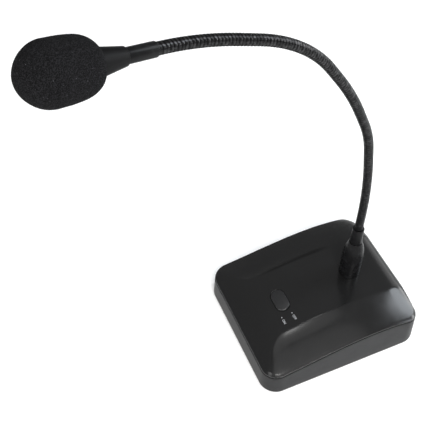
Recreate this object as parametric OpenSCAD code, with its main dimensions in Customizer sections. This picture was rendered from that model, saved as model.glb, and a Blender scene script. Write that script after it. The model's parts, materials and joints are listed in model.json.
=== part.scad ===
// Desk conference microphone: weighted base with a push button, gooseneck and foam windscreen.
// The origin is on the desk under the middle of the base, +X is the speaker's right,
// +Y points to the rear of the base and +Z points up. All sizes are in millimetres.

/* [Base case] */
// Width of the base at the desk
base_w = 140; // [132:1:150]
// Depth of the base at the desk
base_d = 166; // [158:1:176]
// Plan radius of the base's corners
corner_r = 17; // [14:1:20]
// How far a wall leans in over 40 mm of height
wall_lean = 2; // [0.5:0.1:3]
// Thickness of the case walls
wall = 2.5; // [2:0.1:3]
// Thickness of the case floor
floor_t = 3; // [2.5:0.1:4]
// Air between the desk and the case floor
desk_gap = 1; // [0.6:0.1:1.4]
// Height of the wall's rim at the front
rim_front = 24; // [22:0.5:26]
// Pull on the rim's curve behind the front corner
rim_front_pull = 29.5; // [27:0.5:32]
// Pull on the rim's curve ahead of the rear corner
rim_rear_pull = 51; // [47:0.5:54]
// Height of the wall's rim at the rear
rim_rear = 31; // [29:0.5:34]

/* [Top cover] */
// Height of the panel's highest line
panel_peak_z = 50.4; // [48:0.2:54]
// Place of the panel's highest line, front to rear
panel_peak_y = 32; // [26:1:38]
// Radius of the panel along the base
panel_r = 410; // [360:5:480]
// Where the front nose leaves the panel
nose_y = -52; // [-56:1:-48]
// Radius of the front nose
nose_r = 56; // [54:1:60]
// Radius of the rear top edge
rear_r = 12; // [9:0.5:14]
// Half width of the raised panel
panel_half = 33.5; // [30:0.5:37]
// Where the panel's edge starts to turn out towards the front corners
hip_y = -48; // [-52:1:-44]
// Distance of the panel's edge from the cover's edge at the front corners
hip_in = 3; // [2.5:0.5:8]
// Share of the fall that the step beside the panel takes
step_share = 0.25; // [0.15:0.01:0.35]
// Height of the cover's own edge above the rim
edge_h = 1.2; // [0.8:0.1:1.8]
// Thickness of the cover, measured upright
cover_t = 2.8; // [2.4:0.1:3.2]
// Open joint between the wall's rim and the cover
rim_gap = 1; // [0.6:0.05:1.2]
// How far the cover's edge stands in from the wall
reveal = 0.4; // [0.2:0.1:0.6]
// Width of the rounded top of the cover's edge
edge_turn = 0.8; // [0.6:0.1:1]
// Thickness of the cover's locating lip
lip_t = 1.5; // [1.2:0.1:2]
// Depth of the cover's locating lip below the rim
lip_h = 4; // [3:0.5:5]
// Play between the lip and the wall
lip_play = 0.25; // [0.15:0.05:0.4]

/* [Pad and ballast] */
// Width of the rubber pad
pad_w = 90; // [80:1:92]
// Depth of the rubber pad
pad_d = 136; // [120:1:140]
// Thickness of the rubber pad
pad_t = 2; // [1.6:0.1:2.4]
// Corner radius of the pad and of the ballast plate
pad_r = 8; // [4:1:12]
// Play between the pad and its recess
pad_play = 0.2; // [0.1:0.05:0.4]
// Width of the ballast plate
ballast_w = 94; // [80:1:96]
// Depth of the ballast plate
ballast_d = 118; // [100:1:120]
// Thickness of the ballast plate
ballast_t = 5; // [3:0.5:6]
// Distance of a ballast post from the middle, left to right
post_x = 36; // [30:1:40]
// Distance of a ballast post from the middle, front to rear
post_y = 48; // [40:1:52]
// Radius of a ballast post
post_r = 3; // [2.5:0.1:3.5]

/* [Screws] */
// Core radius of the case screws
case_screw_r = 1.45; // [1.2:0.05:1.6]
// Head radius of the case screws
case_head_r = 3; // [2.6:0.1:3.2]
// Head height of the case screws
case_head_h = 2.2; // [1.8:0.1:2.6]
// Radius of the columns that the case screws pass through
column_r = 5; // [4.6:0.1:5.6]
// Radius of the cover's bosses over those columns
cover_boss_r = 4; // [3.6:0.1:4.4]
// Height at which cover boss and case column meet
column_top = 12; // [11:0.5:14]
// Depth of the screw head's seat above the case's underside
head_seat = 5; // [4:0.5:6]
// Length of a case screw above its head
case_screw_l = 14; // [12:0.5:18]
// Core radius of the small screws
small_screw_r = 1.1; // [0.9:0.05:1.2]
// Head radius of the small screws
small_head_r = 2.6; // [2.2:0.1:2.8]
// Head height of the small screws
small_head_h = 1.8; // [1.5:0.1:2.2]
// Head radius of the ballast screws
ballast_head_r = 4; // [3.6:0.1:4.4]
// Length of a board screw above the board
board_screw_l = 6; // [5:0.5:8]
// Spare depth of a pilot hole past its screw
pilot_spare = 1; // [0.5:0.1:2]
// Play of a screw core in its pilot hole
pilot_play = 0.05; // [0.02:0.01:0.08]
// Play of a screw in a clearance hole
hole_play = 0.35; // [0.25:0.05:0.5]

/* [Button and board] */
// Place of the button, left to right
button_x = 1.5; // [-3:0.5:4]
// Place of the button, front to rear
button_y = -38.5; // [-41:0.5:-36]
// Length of the button
button_l = 24; // [20:0.5:26]
// Width of the button
button_w = 13.4; // [11:0.2:15]
// Height of the button above the panel
button_rise = 1.6; // [1:0.1:2.4]
// Radius of the button's crown
button_crown_r = 90; // [70:5:120]
// Gap round the button
button_gap = 0.5; // [0.4:0.05:0.8]
// Travel of the button
button_travel = 2; // [1.5:0.1:2.5]
// Wall of the hollow button
button_wall = 1.6; // [1.4:0.1:2]
// Width of the stop flange round the button's foot
flange_w = 1.3; // [1:0.1:1.6]
// Thickness of the stop flange
flange_t = 1.4; // [1.2:0.1:1.8]
// Clearance between the stop flange and the cover
flange_gap = 0.8; // [0.6:0.1:1]
// Wall of the post that takes the switch plunger
post_wall = 1.2; // [1:0.1:1.5]
// Clearance between the pressed button and the switch
switch_clear = 1; // [0.8:0.1:1.4]
// Width of the circuit board
board_w = 64; // [60:1:66]
// Depth of the circuit board
board_d = 44; // [40:1:46]
// Thickness of the circuit board
board_t = 1.6; // [1.2:0.1:2]
// Height of the board's top face
board_top = 24; // [23:0.5:25]
// Distance of a board screw from the board's edge
board_edge = 5; // [4.5:0.5:6]
// Radius of the bosses that carry the board
board_boss_r = 3; // [2.6:0.1:3.4]
// Side of the switch housing
switch_w = 8.5; // [7:0.5:9]
// Height of the switch housing
switch_h = 9.5; // [8:0.5:10]
// Side of the switch plunger
plunger_w = 3; // [2.4:0.1:3.4]
// Depth of the plunger inside the switch housing
plunger_deep = 4; // [3:0.5:5]
// Length of the plunger above the switch housing
plunger_out = 6.5; // [5.5:0.1:7]
// Play of the plunger in the switch housing
plunger_play = 0.2; // [0.15:0.05:0.3]
// Width of a wire connector on the board
connector_w = 8; // [6:0.5:9]
// Depth of a wire connector on the board
connector_d = 5; // [4:0.5:6]
// Distance of a wire connector from the board's edge
connector_edge = 2; // [1:0.5:3]
// Height of a wire connector on the board
connector_h = 7; // [6:0.5:8]
// Distance of a wire connector from the middle of the base
connector_x = 18; // [16:1:20]
// Radius of a capacitor on the board
capacitor_r = 4; // [3:0.5:5]
// Height of a capacitor on the board
capacitor_h = 8; // [6:0.5:8]

/* [Output socket] */
// Height of the socket's axis
socket_z = 18; // [17.5:0.5:19]
// Radius of the socket's bore
socket_bore_r = 3.2; // [3.15:0.05:3.3]
// Depth of the socket's bore
socket_depth = 30; // [26:1:31]
// Radius of the threaded bush
bush_r = 4.75; // [4.5:0.05:5]
// Length of bush that stands out of the nut
bush_out = 2; // [1:0.5:3]
// Width of the socket's body
socket_w = 16; // [14:1:18]
// Height of the socket's body
socket_h = 14; // [13:0.5:15]
// Length of the socket's body
socket_l = 27; // [25:1:29]
// Thickness of the flat pad that the socket's body meets
socket_pad_t = 1.5; // [1.2:0.1:2]
// Margin of that pad round the socket's body
socket_pad_w = 3; // [2:0.5:4]
// How far that pad stands in from the wall
socket_pad_in = 0.5; // [0.4:0.1:0.8]
// Width of the socket's nut across flats
socket_nut_w = 13; // [12:0.5:14]
// Thickness of the socket's nut
socket_nut_t = 2.4; // [2:0.1:3]
// Depth of the flat seat for the nut in the rear wall
nut_seat = 1.6; // [1.3:0.1:1.8]
// Room for a spanner round the nut
nut_room = 1; // [0.6:0.1:1.6]

/* [Neck holder] */
// Place of the neck, front to rear
neck_y = 37.4; // [34:0.2:40]
// Radius of the holder's barrel
holder_r = 10.25; // [9:0.25:11]
// Height of the holder's barrel
barrel_h = 25; // [22:0.5:29]
// Height of the holder's shoulder
shoulder_h = 22.5; // [18:0.5:25]
// Radius at the top of the shoulder
shoulder_r = 6.2; // [5.9:0.1:6.6]
// Radius of the threaded tail below the panel
tail_r = 7; // [6.5:0.1:7.5]
// Length of the threaded tail
tail_l = 15; // [13:0.5:16]
// Radius of the lead's bore in the holder
lead_bore_r = 3.2; // [2.8:0.1:3.6]
// Depth of the flat seat for the holder in the panel
holder_seat = 0.4; // [0.3:0.05:0.6]
// Extra thickness of the panel under the holder
neck_pad_t = 1; // [0.6:0.1:1.4]
// Margin of that thickening round the washer
neck_pad_w = 2; // [1:0.5:3]
// Thickness of the holder's washer
washer_t = 1.5; // [1:0.1:2]
// Outer radius of the holder's washer
washer_r = 12.5; // [11:0.5:13]
// Width of the holder's nut across flats
holder_nut_w = 22; // [20:0.5:23]
// Thickness of the holder's nut
holder_nut_t = 6; // [5:0.5:7]
// Outer radius of the collar at its foot
collar_r = 5.8; // [5.4:0.1:5.9]
// Outer radius of the collar at its lip
collar_lip_r = 5.4; // [5.2:0.1:5.6]
// Height of the collar above the shoulder
collar_h = 19.5; // [19:0.5:22]
// Height of the collar's straight foot
collar_foot_h = 3; // [2:0.5:4]
// Radius of the collar's spigot in the holder
spigot_r = 4.9; // [4.6:0.1:5.2]
// Length of the collar's spigot
spigot_l = 12; // [9:0.5:13]

/* [Gooseneck] */
// Outer diameter of the gooseneck
neck_d = 8; // [7:0.1:8.2]
// Depth of the valleys between its ribs
rib_depth = 0.55; // [0.35:0.05:0.7]
// Distance from rib to rib
rib_pitch = 2.7; // [2.2:0.05:3]
// Radius of the gooseneck's bore
neck_bore_r = 2.1; // [1.8:0.1:2.3]
// Straight length at each end of a section
neck_straight = 8; // [8:0.5:10]
// Open gap at each bending point
bend_gap = 2; // [1.8:0.1:2.2]
// Radius of the ball end at each bending point
ball_r = 2.4; // [2.2:0.05:2.45]
// Radius of the cup round each ball end
cup_r = 3; // [2.95:0.05:3.05]
// Radius of the lead's hole through a ball end
ball_bore_r = 1.4; // [1.2:0.1:1.6]
// Length of the fixed root from the collar's floor to the first bending point
root_l = 29; // [27:0.5:32]
// Height of the first bending point above the collar's lip
root_rise = 10.5; // [9:0.5:12]
// Length of the first section
section_1_l = 90; // [60:1:110]
// Length of the second section
section_2_l = 53; // [40:1:80]
// Length of the third section
section_3_l = 68; // [50:1:90]
// Length of the fourth section
section_4_l = 95; // [70:1:110]
// Length of the fifth section
section_5_l = 75; // [60:1:90]
// Lean from upright at the top of the first section
section_1_lean = 9.5; // [4:0.5:14]
// Lean from upright at the top of the second section
section_2_lean = 25; // [18:0.5:30]
// Lean from upright at the top of the third section
section_3_lean = 34.5; // [30:0.5:45]
// Lean from upright at the top of the fourth section
section_4_lean = 67; // [55:0.5:72]
// Lean from upright at the head
head_lean = 74; // [73:0.5:90]
// Turn of the gooseneck's plane to the speaker's right
neck_turn = 7.5; // [0:0.5:12]
// Turn of the head to the speaker's right
head_turn = 17; // [8:0.5:20]

/* [Head] */
// Length of the upper ferrule over the gooseneck's end
ferrule_over = 5; // [5:0.5:7]
// Length of the upper ferrule past the gooseneck's end
ferrule_l = 16; // [12:0.5:18]
// Outer radius of the upper ferrule
ferrule_r = 4.7; // [4.7:0.1:5.1]
// Radius of the ferrule's spigot in the housing
ferrule_spigot_r = 3.9; // [3.6:0.1:4.1]
// Length of the ferrule's spigot
ferrule_spigot_l = 7; // [5:0.5:8]
// Radius of the housing where it meets the ferrule
housing_foot_r = 5.6; // [5.4:0.1:6]
// Length of the housing's taper
taper_l = 18; // [15:0.5:21]
// Radius of the housing's barrel
housing_r = 8.4; // [8.2:0.1:9.2]
// Length of the housing's barrel
housing_barrel_l = 14; // [13:0.5:17]
// Wall of the housing
housing_wall = 1.3; // [1:0.1:1.5]
// Radius of the microphone capsule
capsule_r = 4.85; // [4.5:0.05:5.2]
// Length of the microphone capsule
capsule_l = 6.5; // [5:0.5:7]
// Depth of the capsule below the housing's rim
capsule_deep = 2.5; // [2.2:0.1:3]
// How far the capsule stands out of its gasket
capsule_proud = 1; // [0.5:0.1:1.5]
// Radius of the capsule's middle hole
capsule_hole_r = 1; // [0.8:0.1:1.2]
// Width of the shelf that carries the capsule
shelf_w = 1.5; // [1:0.1:2]
// Thickness of the shelf that carries the capsule
shelf_t = 2; // [1.5:0.1:3]
// Length of the grille cap
grille_l = 8; // [7:0.5:10]
// Wall of the grille cap
grille_t = 0.8; // [0.6:0.1:1]
// Radius of the grille cap's front edge
grille_front_r = 4; // [3:0.5:5]
// Length of the grille cap's spigot in the housing
grille_spigot_l = 2; // [1.5:0.1:2.2]
// Radius of the ring of holes in the grille cap
grille_ring_r = 3.2; // [2.6:0.1:3.6]
// Radius of a hole in the grille cap
grille_hole_r = 0.9; // [0.7:0.1:1]
// Length of the foam windscreen
foam_l = 48.5; // [45:0.5:52]
// Largest radius of the foam windscreen
foam_r = 18; // [17:0.2:20]
// Distance from the foam's mouth to its widest place
foam_wide = 29.5; // [26:0.5:31]
// How far the foam reaches over the housing's taper
foam_over = 0.5; // [0.3:0.1:0.8]
// Play between the foam and the housing
foam_play = 0.15; // [0.1:0.05:0.3]
// Play of a pushed fit between fixed pieces
fit_play = 0.05; // [0.03:0.01:0.08]
// Size of the broken edges on turned pieces
edge_break = 0.5; // [0.3:0.05:0.6]

/* [Hidden] */
$fn = 48;

case_black = "#2b2c2f";
gloss_black = "#151517";
steel = "#9a9da1";
brass = "#b89b5e";
foam_black = "#17171a";

lean_rate = wall_lean / 40;
half_w = base_w / 2;
half_d = base_d / 2;
floor_top = desk_gap + floor_t;
over = 1;
block_top = panel_peak_z + 10 * over;
edge_x = half_w - wall_lean;
rear_y = half_d - wall_lean - rear_r;
screw_x = half_w - corner_r;
screw_y = half_d - corner_r;
seat_z = desk_gap + head_seat;
ballast_top = floor_top + ballast_t;
thin = 0.01;
sides = 8;
rear_wall_y = half_d - lean_rate * (socket_z - desk_gap);
socket_face_y = rear_wall_y - wall - socket_pad_in;
socket_back_y = socket_face_y - socket_l;
nut_seat_y = rear_wall_y - nut_seat;
bush_end_y = nut_seat_y + socket_nut_t + bush_out;

// Points of the two leads inside the base
lead_r = 1.5;
neck_lead_route = [[0, 37.4, 36], [0, 37, 30], [2, 31, 23], [8, 18, 20], [15, 2, 24], [18, -10, 27.5],
                   [18, -18.5, 27.5]];
socket_lead_route = [[-3, socket_back_y, 18], [-3, socket_back_y - 7, 18], [-6, 30, 17], [-13, 12, 18],
                     [-18, -2, 24], [-18, -11, 27.5], [-18, -18.5, 27.5]];
lead_steps = 3;

function soft_step(a, b, v) = let (t = max(0, min(1, (v - a) / (b - a)))) t * t * (3 - 2 * t);
function unit(v) = v / norm(v);

// Side view of the base: the rim of the walls and the crown of the cover
function rim_z(y) =
    let (t = (y + half_d) / base_d, q = 1 - t)
    pow(q, 3) * rim_front + 3 * q * q * t * rim_front_pull
    + 3 * q * t * t * rim_rear_pull + pow(t, 3) * rim_rear;
function arc_z(centre, r, y) = centre[1] + sqrt(max(0, r * r - pow(y - centre[0], 2)));
panel_centre = [panel_peak_y, panel_peak_z - panel_r];
nose_slope = (nose_y - panel_peak_y) / panel_r;
nose_centre = panel_centre + (panel_r - nose_r) * [nose_slope, sqrt(1 - nose_slope * nose_slope)];
rear_centre = [rear_y, arc_z(panel_centre, panel_r, rear_y) - rear_r];
function crown_z(y) =
    y < nose_y ? arc_z(nose_centre, nose_r, y)
    : y > rear_y ? arc_z(rear_centre, rear_r, y)
    : arc_z(panel_centre, panel_r, y);

// Top surface of the cover: a raised panel, a hollow step beside it and a rounded fall to the rim
step_start = [-78, -50];
step_fade = [-30, 40];
rear_step = 0.25;
step_reach = 0.35;
fall_power = 1.5;
function crease_x(y) =
    panel_half + (edge_x - hip_in - panel_half) * pow(max(0, (hip_y - y) / (half_d + hip_y)), 2);
function step_at(y) =
    step_share * soft_step(step_start[0], step_start[1], y)
    * (1 - (1 - rear_step) * soft_step(step_fade[0], step_fade[1], y));
function fall(u, y) =
    let (k = step_at(y), v = max(0, min(1, u)))
    k * pow(max(0, 1 - v / step_reach), 2) + (1 - k) * (1 - pow(v, fall_power));
function surface_z(x, y) =
    let (low = rim_z(y) + rim_gap + edge_h, c = crease_x(y), u = (abs(x) - c) / (edge_x - c))
    low + max(0, crown_z(y) - low) * fall(u, y);
function surface_normal(x, y) =
    unit([surface_z(x - 1, y) - surface_z(x + 1, y), surface_z(x, y - 1) - surface_z(x, y + 1), 2]);

// Places round a closed ring: four corner arcs with points along the sides between them
corner_steps = 6;
side_steps = [6, 9, 6, 9];
ring_places = [for (q = [0 : 3]) each concat(
    [for (i = [0 : corner_steps]) [q, true, i / corner_steps]],
    [for (i = [1 : side_steps[q]]) [q, false, i / (side_steps[q] + 1)]])];
ring_n = len(ring_places);
least_ring_r = 6;
function ring_corner(q, inset, r) =
    [(q % 4 == 0 || q % 4 == 3 ? 1 : -1) * (half_w - inset - r), (q % 4 < 2 ? 1 : -1) * (half_d - inset - r)];
function ring_point(inset, place) =
    let (q = place[0], f = place[2], r = max(corner_r - inset, least_ring_r),
         arm = r * [cos(90 * (q + 1)), sin(90 * (q + 1))])
    place[1] ? ring_corner(q, inset, r) + r * [cos(90 * (q + f)), sin(90 * (q + f))]
    : arm + (1 - f) * ring_corner(q, inset, r) + f * ring_corner(q + 1, inset, r);
// Ring point drawn in by the lean of the walls at the rim
function leaning_point(inset, place) =
    ring_point(inset + lean_rate * (rim_z(ring_point(inset, place)[1]) - desk_gap), place);
function rim_ring(inset, lift) =
    [for (s = ring_places) let (p = leaning_point(inset, s)) [p[0], p[1], rim_z(p[1]) + lift]];
function surface_ring(inset, drop) =
    [for (s = ring_places) let (p = leaning_point(inset, s)) [p[0], p[1], surface_z(p[0], p[1]) - drop]];

// Shell of the cover, from the middle of its top out to the rim and back under to the middle
module cover_shell() {
    lip_out = wall + lip_play;
    lip_in = lip_out + lip_t;
    crease = half_w - panel_half;
    middle_in = crease + 0.62 * panel_half;
    panel_shares = [1, 0.42, 0];
    slope_shares = [0.07, 0.14, 0.22, 0.34, 0.48, 0.62, 0.74, 0.84, 0.91];
    under_shares = [0, 0.09, 0.2, 0.34, 0.5, 0.7, 1];
    tops = concat([for (s = panel_shares) each surface_ring(crease + s * (middle_in - crease), 0)],
                  [for (s = slope_shares) each surface_ring(crease * (1 - s), 0)]);
    rim = concat(rim_ring(reveal + edge_turn, rim_gap + edge_h), rim_ring(reveal, rim_gap + edge_h / 2),
                 rim_ring(reveal, rim_gap), rim_ring(lip_out, rim_gap), rim_ring(lip_out, -lip_h),
                 rim_ring(lip_in, -lip_h));
    unders = [for (s = under_shares) each surface_ring(lip_in + s * (middle_in - lip_in), cover_t)];
    rings = concat(tops, rim, unders);
    last = len(rings) / ring_n - 1;
    bands = [for (j = [0 : last - 1]) for (k = [0 : ring_n - 1])
             let (a = j * ring_n + k, b = j * ring_n + (k + 1) % ring_n)
             each [[a, b, b + ring_n], [a, b + ring_n, a + ring_n]]];
    middle = len(rings);
    middle_z = surface_z(0, 0);
    caps = [for (k = [0 : ring_n - 1]) let (n = (k + 1) % ring_n)
            each [[middle, n, k], [middle + 1, last * ring_n + k, last * ring_n + n]]];
    polyhedron(concat(rings, [[0, 0, middle_z], [0, 0, middle_z - cover_t]]), concat(bands, caps),
               convexity = 8);
}

// Boss that hangs from the cover, cut off halfway through the cover's thickness
module cover_boss(x, y, r, low) {
    n = surface_normal(x, y);
    mid_z = surface_z(x, y) - cover_t / 2;
    difference() {
        translate([x, y, 0]) upright(r, low, mid_z + 2 * r);
        translate([x, y, mid_z]) rotate([0, acos(n[2]), atan2(n[1], n[0])]) translate([-3 * r, -3 * r, 0])
            cube(6 * r);
    }
}

// Plan outline of the base
module plan(inset) {
    r = corner_r - inset;
    square([2 * screw_x, 2 * (screw_y + r)], center = true);
    square([2 * (screw_x + r), 2 * screw_y], center = true);
    for (sx = [-1, 1], sy = [-1, 1]) translate([sx * screw_x, sy * screw_y]) circle(r, $fn = 32);
}

// Block with the leaning walls of the base
module case_block(inset, low, high) {
    hull() {
        translate([0, 0, low]) linear_extrude(thin) plan(inset + lean_rate * (low - desk_gap));
        translate([0, 0, high - thin]) linear_extrude(thin) plan(inset + lean_rate * (high - desk_gap));
    }
}

// Everything below the rim's curve
module below_rim(lift) {
    n = 24;
    reach = half_d + 5;
    curve = [for (i = [0 : n]) let (y = -reach + 2 * reach * i / n) [y, rim_z(y) + lift]];
    rotate([90, 0, 90]) linear_extrude(base_w + 20, center = true)
        polygon(concat([[reach, -5], [-reach, -5]], curve));
}

module at_corners(x, y) {
    for (sx = [-1, 1], sy = [-1, 1]) translate([sx * x, sy * y, 0]) children();
}

module upright(r, low, high) {
    translate([0, 0, low]) cylinder(r = r, h = high - low);
}

module rounded_plate(w, d, r, t) {
    linear_extrude(t) {
        square([w - 2 * r, d], center = true);
        square([w, d - 2 * r], center = true);
        for (sx = [-1, 1], sy = [-1, 1]) translate([sx * (w / 2 - r), sy * (d / 2 - r)]) circle(r);
    }
}

// Screw with its head at the bottom and its seat at height 0
module screw(head_r, head_h, core_r, length) {
    upright(head_r, -head_h, 0);
    upright(core_r, -thin, length);
}

module along_y(r, low, high) {
    translate([0, low, socket_z]) rotate([-90, 0, 0]) cylinder(r = r, h = high - low);
}

module bottom_case() {
    color(case_black) difference() {
        union() {
            difference() {
                intersection() {
                    case_block(0, desk_gap, block_top);
                    below_rim(0);
                }
                case_block(wall, floor_top, block_top + over);
            }
            at_corners(screw_x, screw_y) upright(column_r, desk_gap + floor_t / 2, column_top);
            at_corners(post_x, post_y) upright(post_r, desk_gap + floor_t / 2, ballast_top);
            translate([0, socket_face_y + socket_pad_t / 2, socket_z])
                cube([socket_w + 2 * socket_pad_w, socket_pad_t, socket_h + 2 * socket_pad_w], center = true);
        }
        translate([0, 0, desk_gap - over])
            rounded_plate(pad_w + 2 * pad_play, pad_d + 2 * pad_play, pad_r, pad_t - desk_gap + over);
        at_corners(screw_x, screw_y) {
            upright(case_head_r + hole_play, desk_gap - over, seat_z);
            upright(case_screw_r + hole_play, desk_gap - over, column_top + over);
        }
        at_corners(post_x, post_y) upright(small_screw_r + pilot_play, pad_t + over, ballast_top + over);
        along_y(bush_r + fit_play, socket_face_y - over, half_d + over);
        along_y(socket_nut_w / 2 / cos(30) + nut_room, nut_seat_y, half_d + over);
    }
}

module pill(l, w, t) {
    linear_extrude(t) {
        square([l - w, w], center = true);
        for (s = [-1, 1]) translate([s * (l - w) / 2, 0]) circle(w / 2);
    }
}

holder_z = crown_z(neck_y) - holder_seat;
cover_under_z = holder_z - cover_t - neck_pad_t;
board_x = board_w / 2 - board_edge;
board_y = board_d / 2 - board_edge;
board_mid_y = button_y;
switch_top = board_top + switch_h;

module top_cover() {
    color(case_black) difference() {
        union() {
            cover_shell();
            for (sx = [-1, 1], sy = [-1, 1]) {
                cover_boss(sx * screw_x, sy * screw_y, cover_boss_r, column_top);
                cover_boss(sx * board_x, board_mid_y + sy * board_y, board_boss_r, board_top);
            }
            translate([0, neck_y, 0]) upright(washer_r + neck_pad_w, cover_under_z, holder_z - neck_pad_t);
        }
        at_corners(screw_x, screw_y)
            upright(case_screw_r + pilot_play, column_top - over, seat_z + case_screw_l + pilot_spare);
        translate([0, board_mid_y, 0]) at_corners(board_x, board_y)
            upright(small_screw_r + pilot_play, board_top - over, board_top + board_screw_l + pilot_spare);
        translate([0, neck_y, 0]) {
            upright(tail_r + fit_play, cover_under_z - over, block_top);
            upright(holder_r + fit_play, holder_z, block_top);
        }
        translate([button_x, button_y, switch_top])
            pill(button_l + 2 * button_gap, button_w + 2 * button_gap, block_top);
    }
}

module non_slip_pad() {
    color("#1d1d1f") rounded_plate(pad_w, pad_d, pad_r, pad_t);
}

module ballast_plate() {
    color(steel) difference() {
        translate([0, 0, floor_top]) rounded_plate(ballast_w, ballast_d, pad_r, ballast_t);
        at_corners(post_x, post_y) upright(post_r + hole_play, floor_top - over, ballast_top + over);
    }
}

module ballast_screws() {
    color(steel) at_corners(post_x, post_y) translate([0, 0, ballast_top]) mirror([0, 0, 1])
        screw(ballast_head_r, small_head_h, small_screw_r, ballast_t + floor_t - pad_t);
}

module case_screws() {
    color(steel) at_corners(screw_x, screw_y) translate([0, 0, seat_z])
        screw(case_head_r, case_head_h, case_screw_r, case_screw_l);
}

connector_y = board_mid_y + board_d / 2 - connector_edge;

module circuit_board() {
    color("darkgreen") translate([0, board_mid_y, 0]) difference() {
        translate([0, 0, board_top - board_t]) rounded_plate(board_w, board_d, 1.5, board_t);
        at_corners(board_x, board_y)
            upright(small_screw_r + hole_play, board_top - board_t - over, board_top + over);
    }
    color("ivory") for (s = [-1, 1])
        translate([s * connector_x - connector_w / 2, connector_y - connector_d, board_top - thin])
            cube([connector_w, connector_d, connector_h + thin]);
    color("navy") for (s = [-1, 1])
        translate([s * connector_x, board_mid_y - board_d / 4, 0])
            upright(capacitor_r, board_top - thin, board_top + capacitor_h);
}

module board_screws() {
    color(steel) translate([0, board_mid_y, board_top - board_t]) at_corners(board_x, board_y)
        screw(small_head_r, small_head_h, small_screw_r, board_t + board_screw_l);
}

plunger_low = switch_top - plunger_deep;
plunger_high = switch_top + plunger_out;

module switch_body() {
    well = plunger_w + 2 * plunger_play;
    color("#3a3a3c") translate([button_x, button_y, 0]) difference() {
        translate([-switch_w / 2, -switch_w / 2, board_top]) cube([switch_w, switch_w, switch_h]);
        translate([-well / 2, -well / 2, plunger_low - button_travel - plunger_play])
            cube([well, well, switch_h]);
    }
}

module switch_plunger() {
    color("ivory") translate([button_x - plunger_w / 2, button_y - plunger_w / 2, plunger_low])
        cube([plunger_w, plunger_w, plunger_high - plunger_low]);
}

button_top = crown_z(button_y) + button_rise;
button_slope = asin((panel_peak_y - button_y) / panel_r);
button_low = switch_top + button_travel + switch_clear;
flange_top = crown_z(button_y - button_w / 2) - cover_t - flange_gap;

module button_cap() {
    socket = plunger_w + 2 * fit_play;
    post_w = plunger_w + 2 * post_wall;
    hollow_h = plunger_high - button_low + over;
    color("#3b3c40") translate([button_x, button_y, 0]) difference() {
        union() {
            intersection() {
                translate([0, 0, button_low]) pill(button_l, button_w, button_top);
                translate([0, 0, button_top] - button_crown_r * [0, -sin(button_slope), cos(button_slope)])
                    sphere(button_crown_r, $fn = 96);
            }
            translate([0, 0, flange_top - flange_t])
                pill(button_l + 2 * flange_w, button_w + 2 * flange_w, flange_t);
        }
        difference() {
            translate([0, 0, button_low - over])
                pill(button_l - 2 * button_wall, button_w - 2 * button_wall, hollow_h);
            translate([-post_w / 2, -post_w / 2, button_low]) cube([post_w, post_w, hollow_h]);
        }
        translate([-socket / 2, -socket / 2, button_low - over]) cube([socket, socket, hollow_h]);
    }
}

module output_socket() {
    color("#1f1f22") difference() {
        union() {
            translate([-socket_w / 2, socket_back_y, socket_z - socket_h / 2])
                cube([socket_w, socket_l, socket_h]);
            along_y(bush_r, socket_face_y - thin, bush_end_y);
        }
        along_y(socket_bore_r, bush_end_y - socket_depth, bush_end_y + over);
    }
}

module socket_nut() {
    color(steel) difference() {
        translate([0, nut_seat_y, socket_z]) rotate([-90, 0, 0])
            cylinder(r = socket_nut_w / 2 / cos(30), h = socket_nut_t, $fn = 6);
        along_y(bush_r + fit_play, nut_seat_y - over, bush_end_y + over);
    }
}

// Smooth curve through a lead's points
function route_point(route, i, t) =
    let (last = len(route) - 1,
         p = route[max(0, i - 1)], a = route[i], b = route[i + 1], q = route[min(last, i + 2)],
         v = (b - p) / 2, w = (q - a) / 2)
    (2 * t * t * t - 3 * t * t + 1) * a + (t * t * t - 2 * t * t + t) * v
    + (3 * t * t - 2 * t * t * t) * b + (t * t * t - t * t) * w;

module lead(route) {
    path = concat([for (i = [0 : len(route) - 2]) for (j = [0 : lead_steps - 1])
                   route_point(route, i, j / lead_steps)], [route[len(route) - 1]]);
    last = len(path) - 1;
    rings = [for (i = [0 : last]) let (t = unit(path[min(last, i + 1)] - path[max(0, i - 1)]),
                                       side = unit([1, 0, 0] - t[0] * t), up = cross(t, side))
             for (k = [0 : sides - 1]) let (a = 360 * k / sides)
             path[i] + lead_r * (cos(a) * side + sin(a) * up)];
    wall_faces = [for (i = [0 : last - 1]) for (k = [0 : sides - 1])
                  let (a = i * sides + k, b = i * sides + (k + 1) % sides)
                  each [[a, a + sides, b + sides], [a, b + sides, b]]];
    polyhedron(rings, concat(wall_faces, [[for (k = [0 : sides - 1]) k]],
                             [[for (k = [sides - 1 : -1 : 0]) last * sides + k]]), convexity = 6);
}

module neck_lead() {
    color("#303034") lead(neck_lead_route);
}

module socket_lead() {
    color("#303034") lead(socket_lead_route);
}

shoulder_z = holder_z + barrel_h;
collar_z = shoulder_z + shoulder_h;
lip_z = collar_z + collar_h;
holder_low = holder_z - tail_l;
spigot_z = collar_z - spigot_l;

module at_neck() {
    translate([0, neck_y, 0]) children();
}

module neck_holder() {
    n = 8;
    taper = 0.75;
    spigot_hole_r = spigot_r + fit_play;
    shoulder = [for (i = [0 : n]) let (t = i / n, rise = taper * t + (1 - taper) * sin(90 * t))
                [shoulder_r + (holder_r - shoulder_r) * cos(90 * t), shoulder_z + shoulder_h * rise]];
    color(gloss_black) at_neck() rotate_extrude()
        polygon(concat([[lead_bore_r, holder_low], [tail_r, holder_low], [tail_r, holder_z]],
                       [[holder_r, holder_z]], shoulder,
                       [[spigot_hole_r, collar_z], [spigot_hole_r, spigot_z], [lead_bore_r, spigot_z]]));
}

module holder_washer() {
    color(steel) at_neck() difference() {
        upright(washer_r, cover_under_z - washer_t, cover_under_z);
        upright(tail_r + fit_play, cover_under_z - washer_t - over, cover_under_z + over);
    }
}

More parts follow.
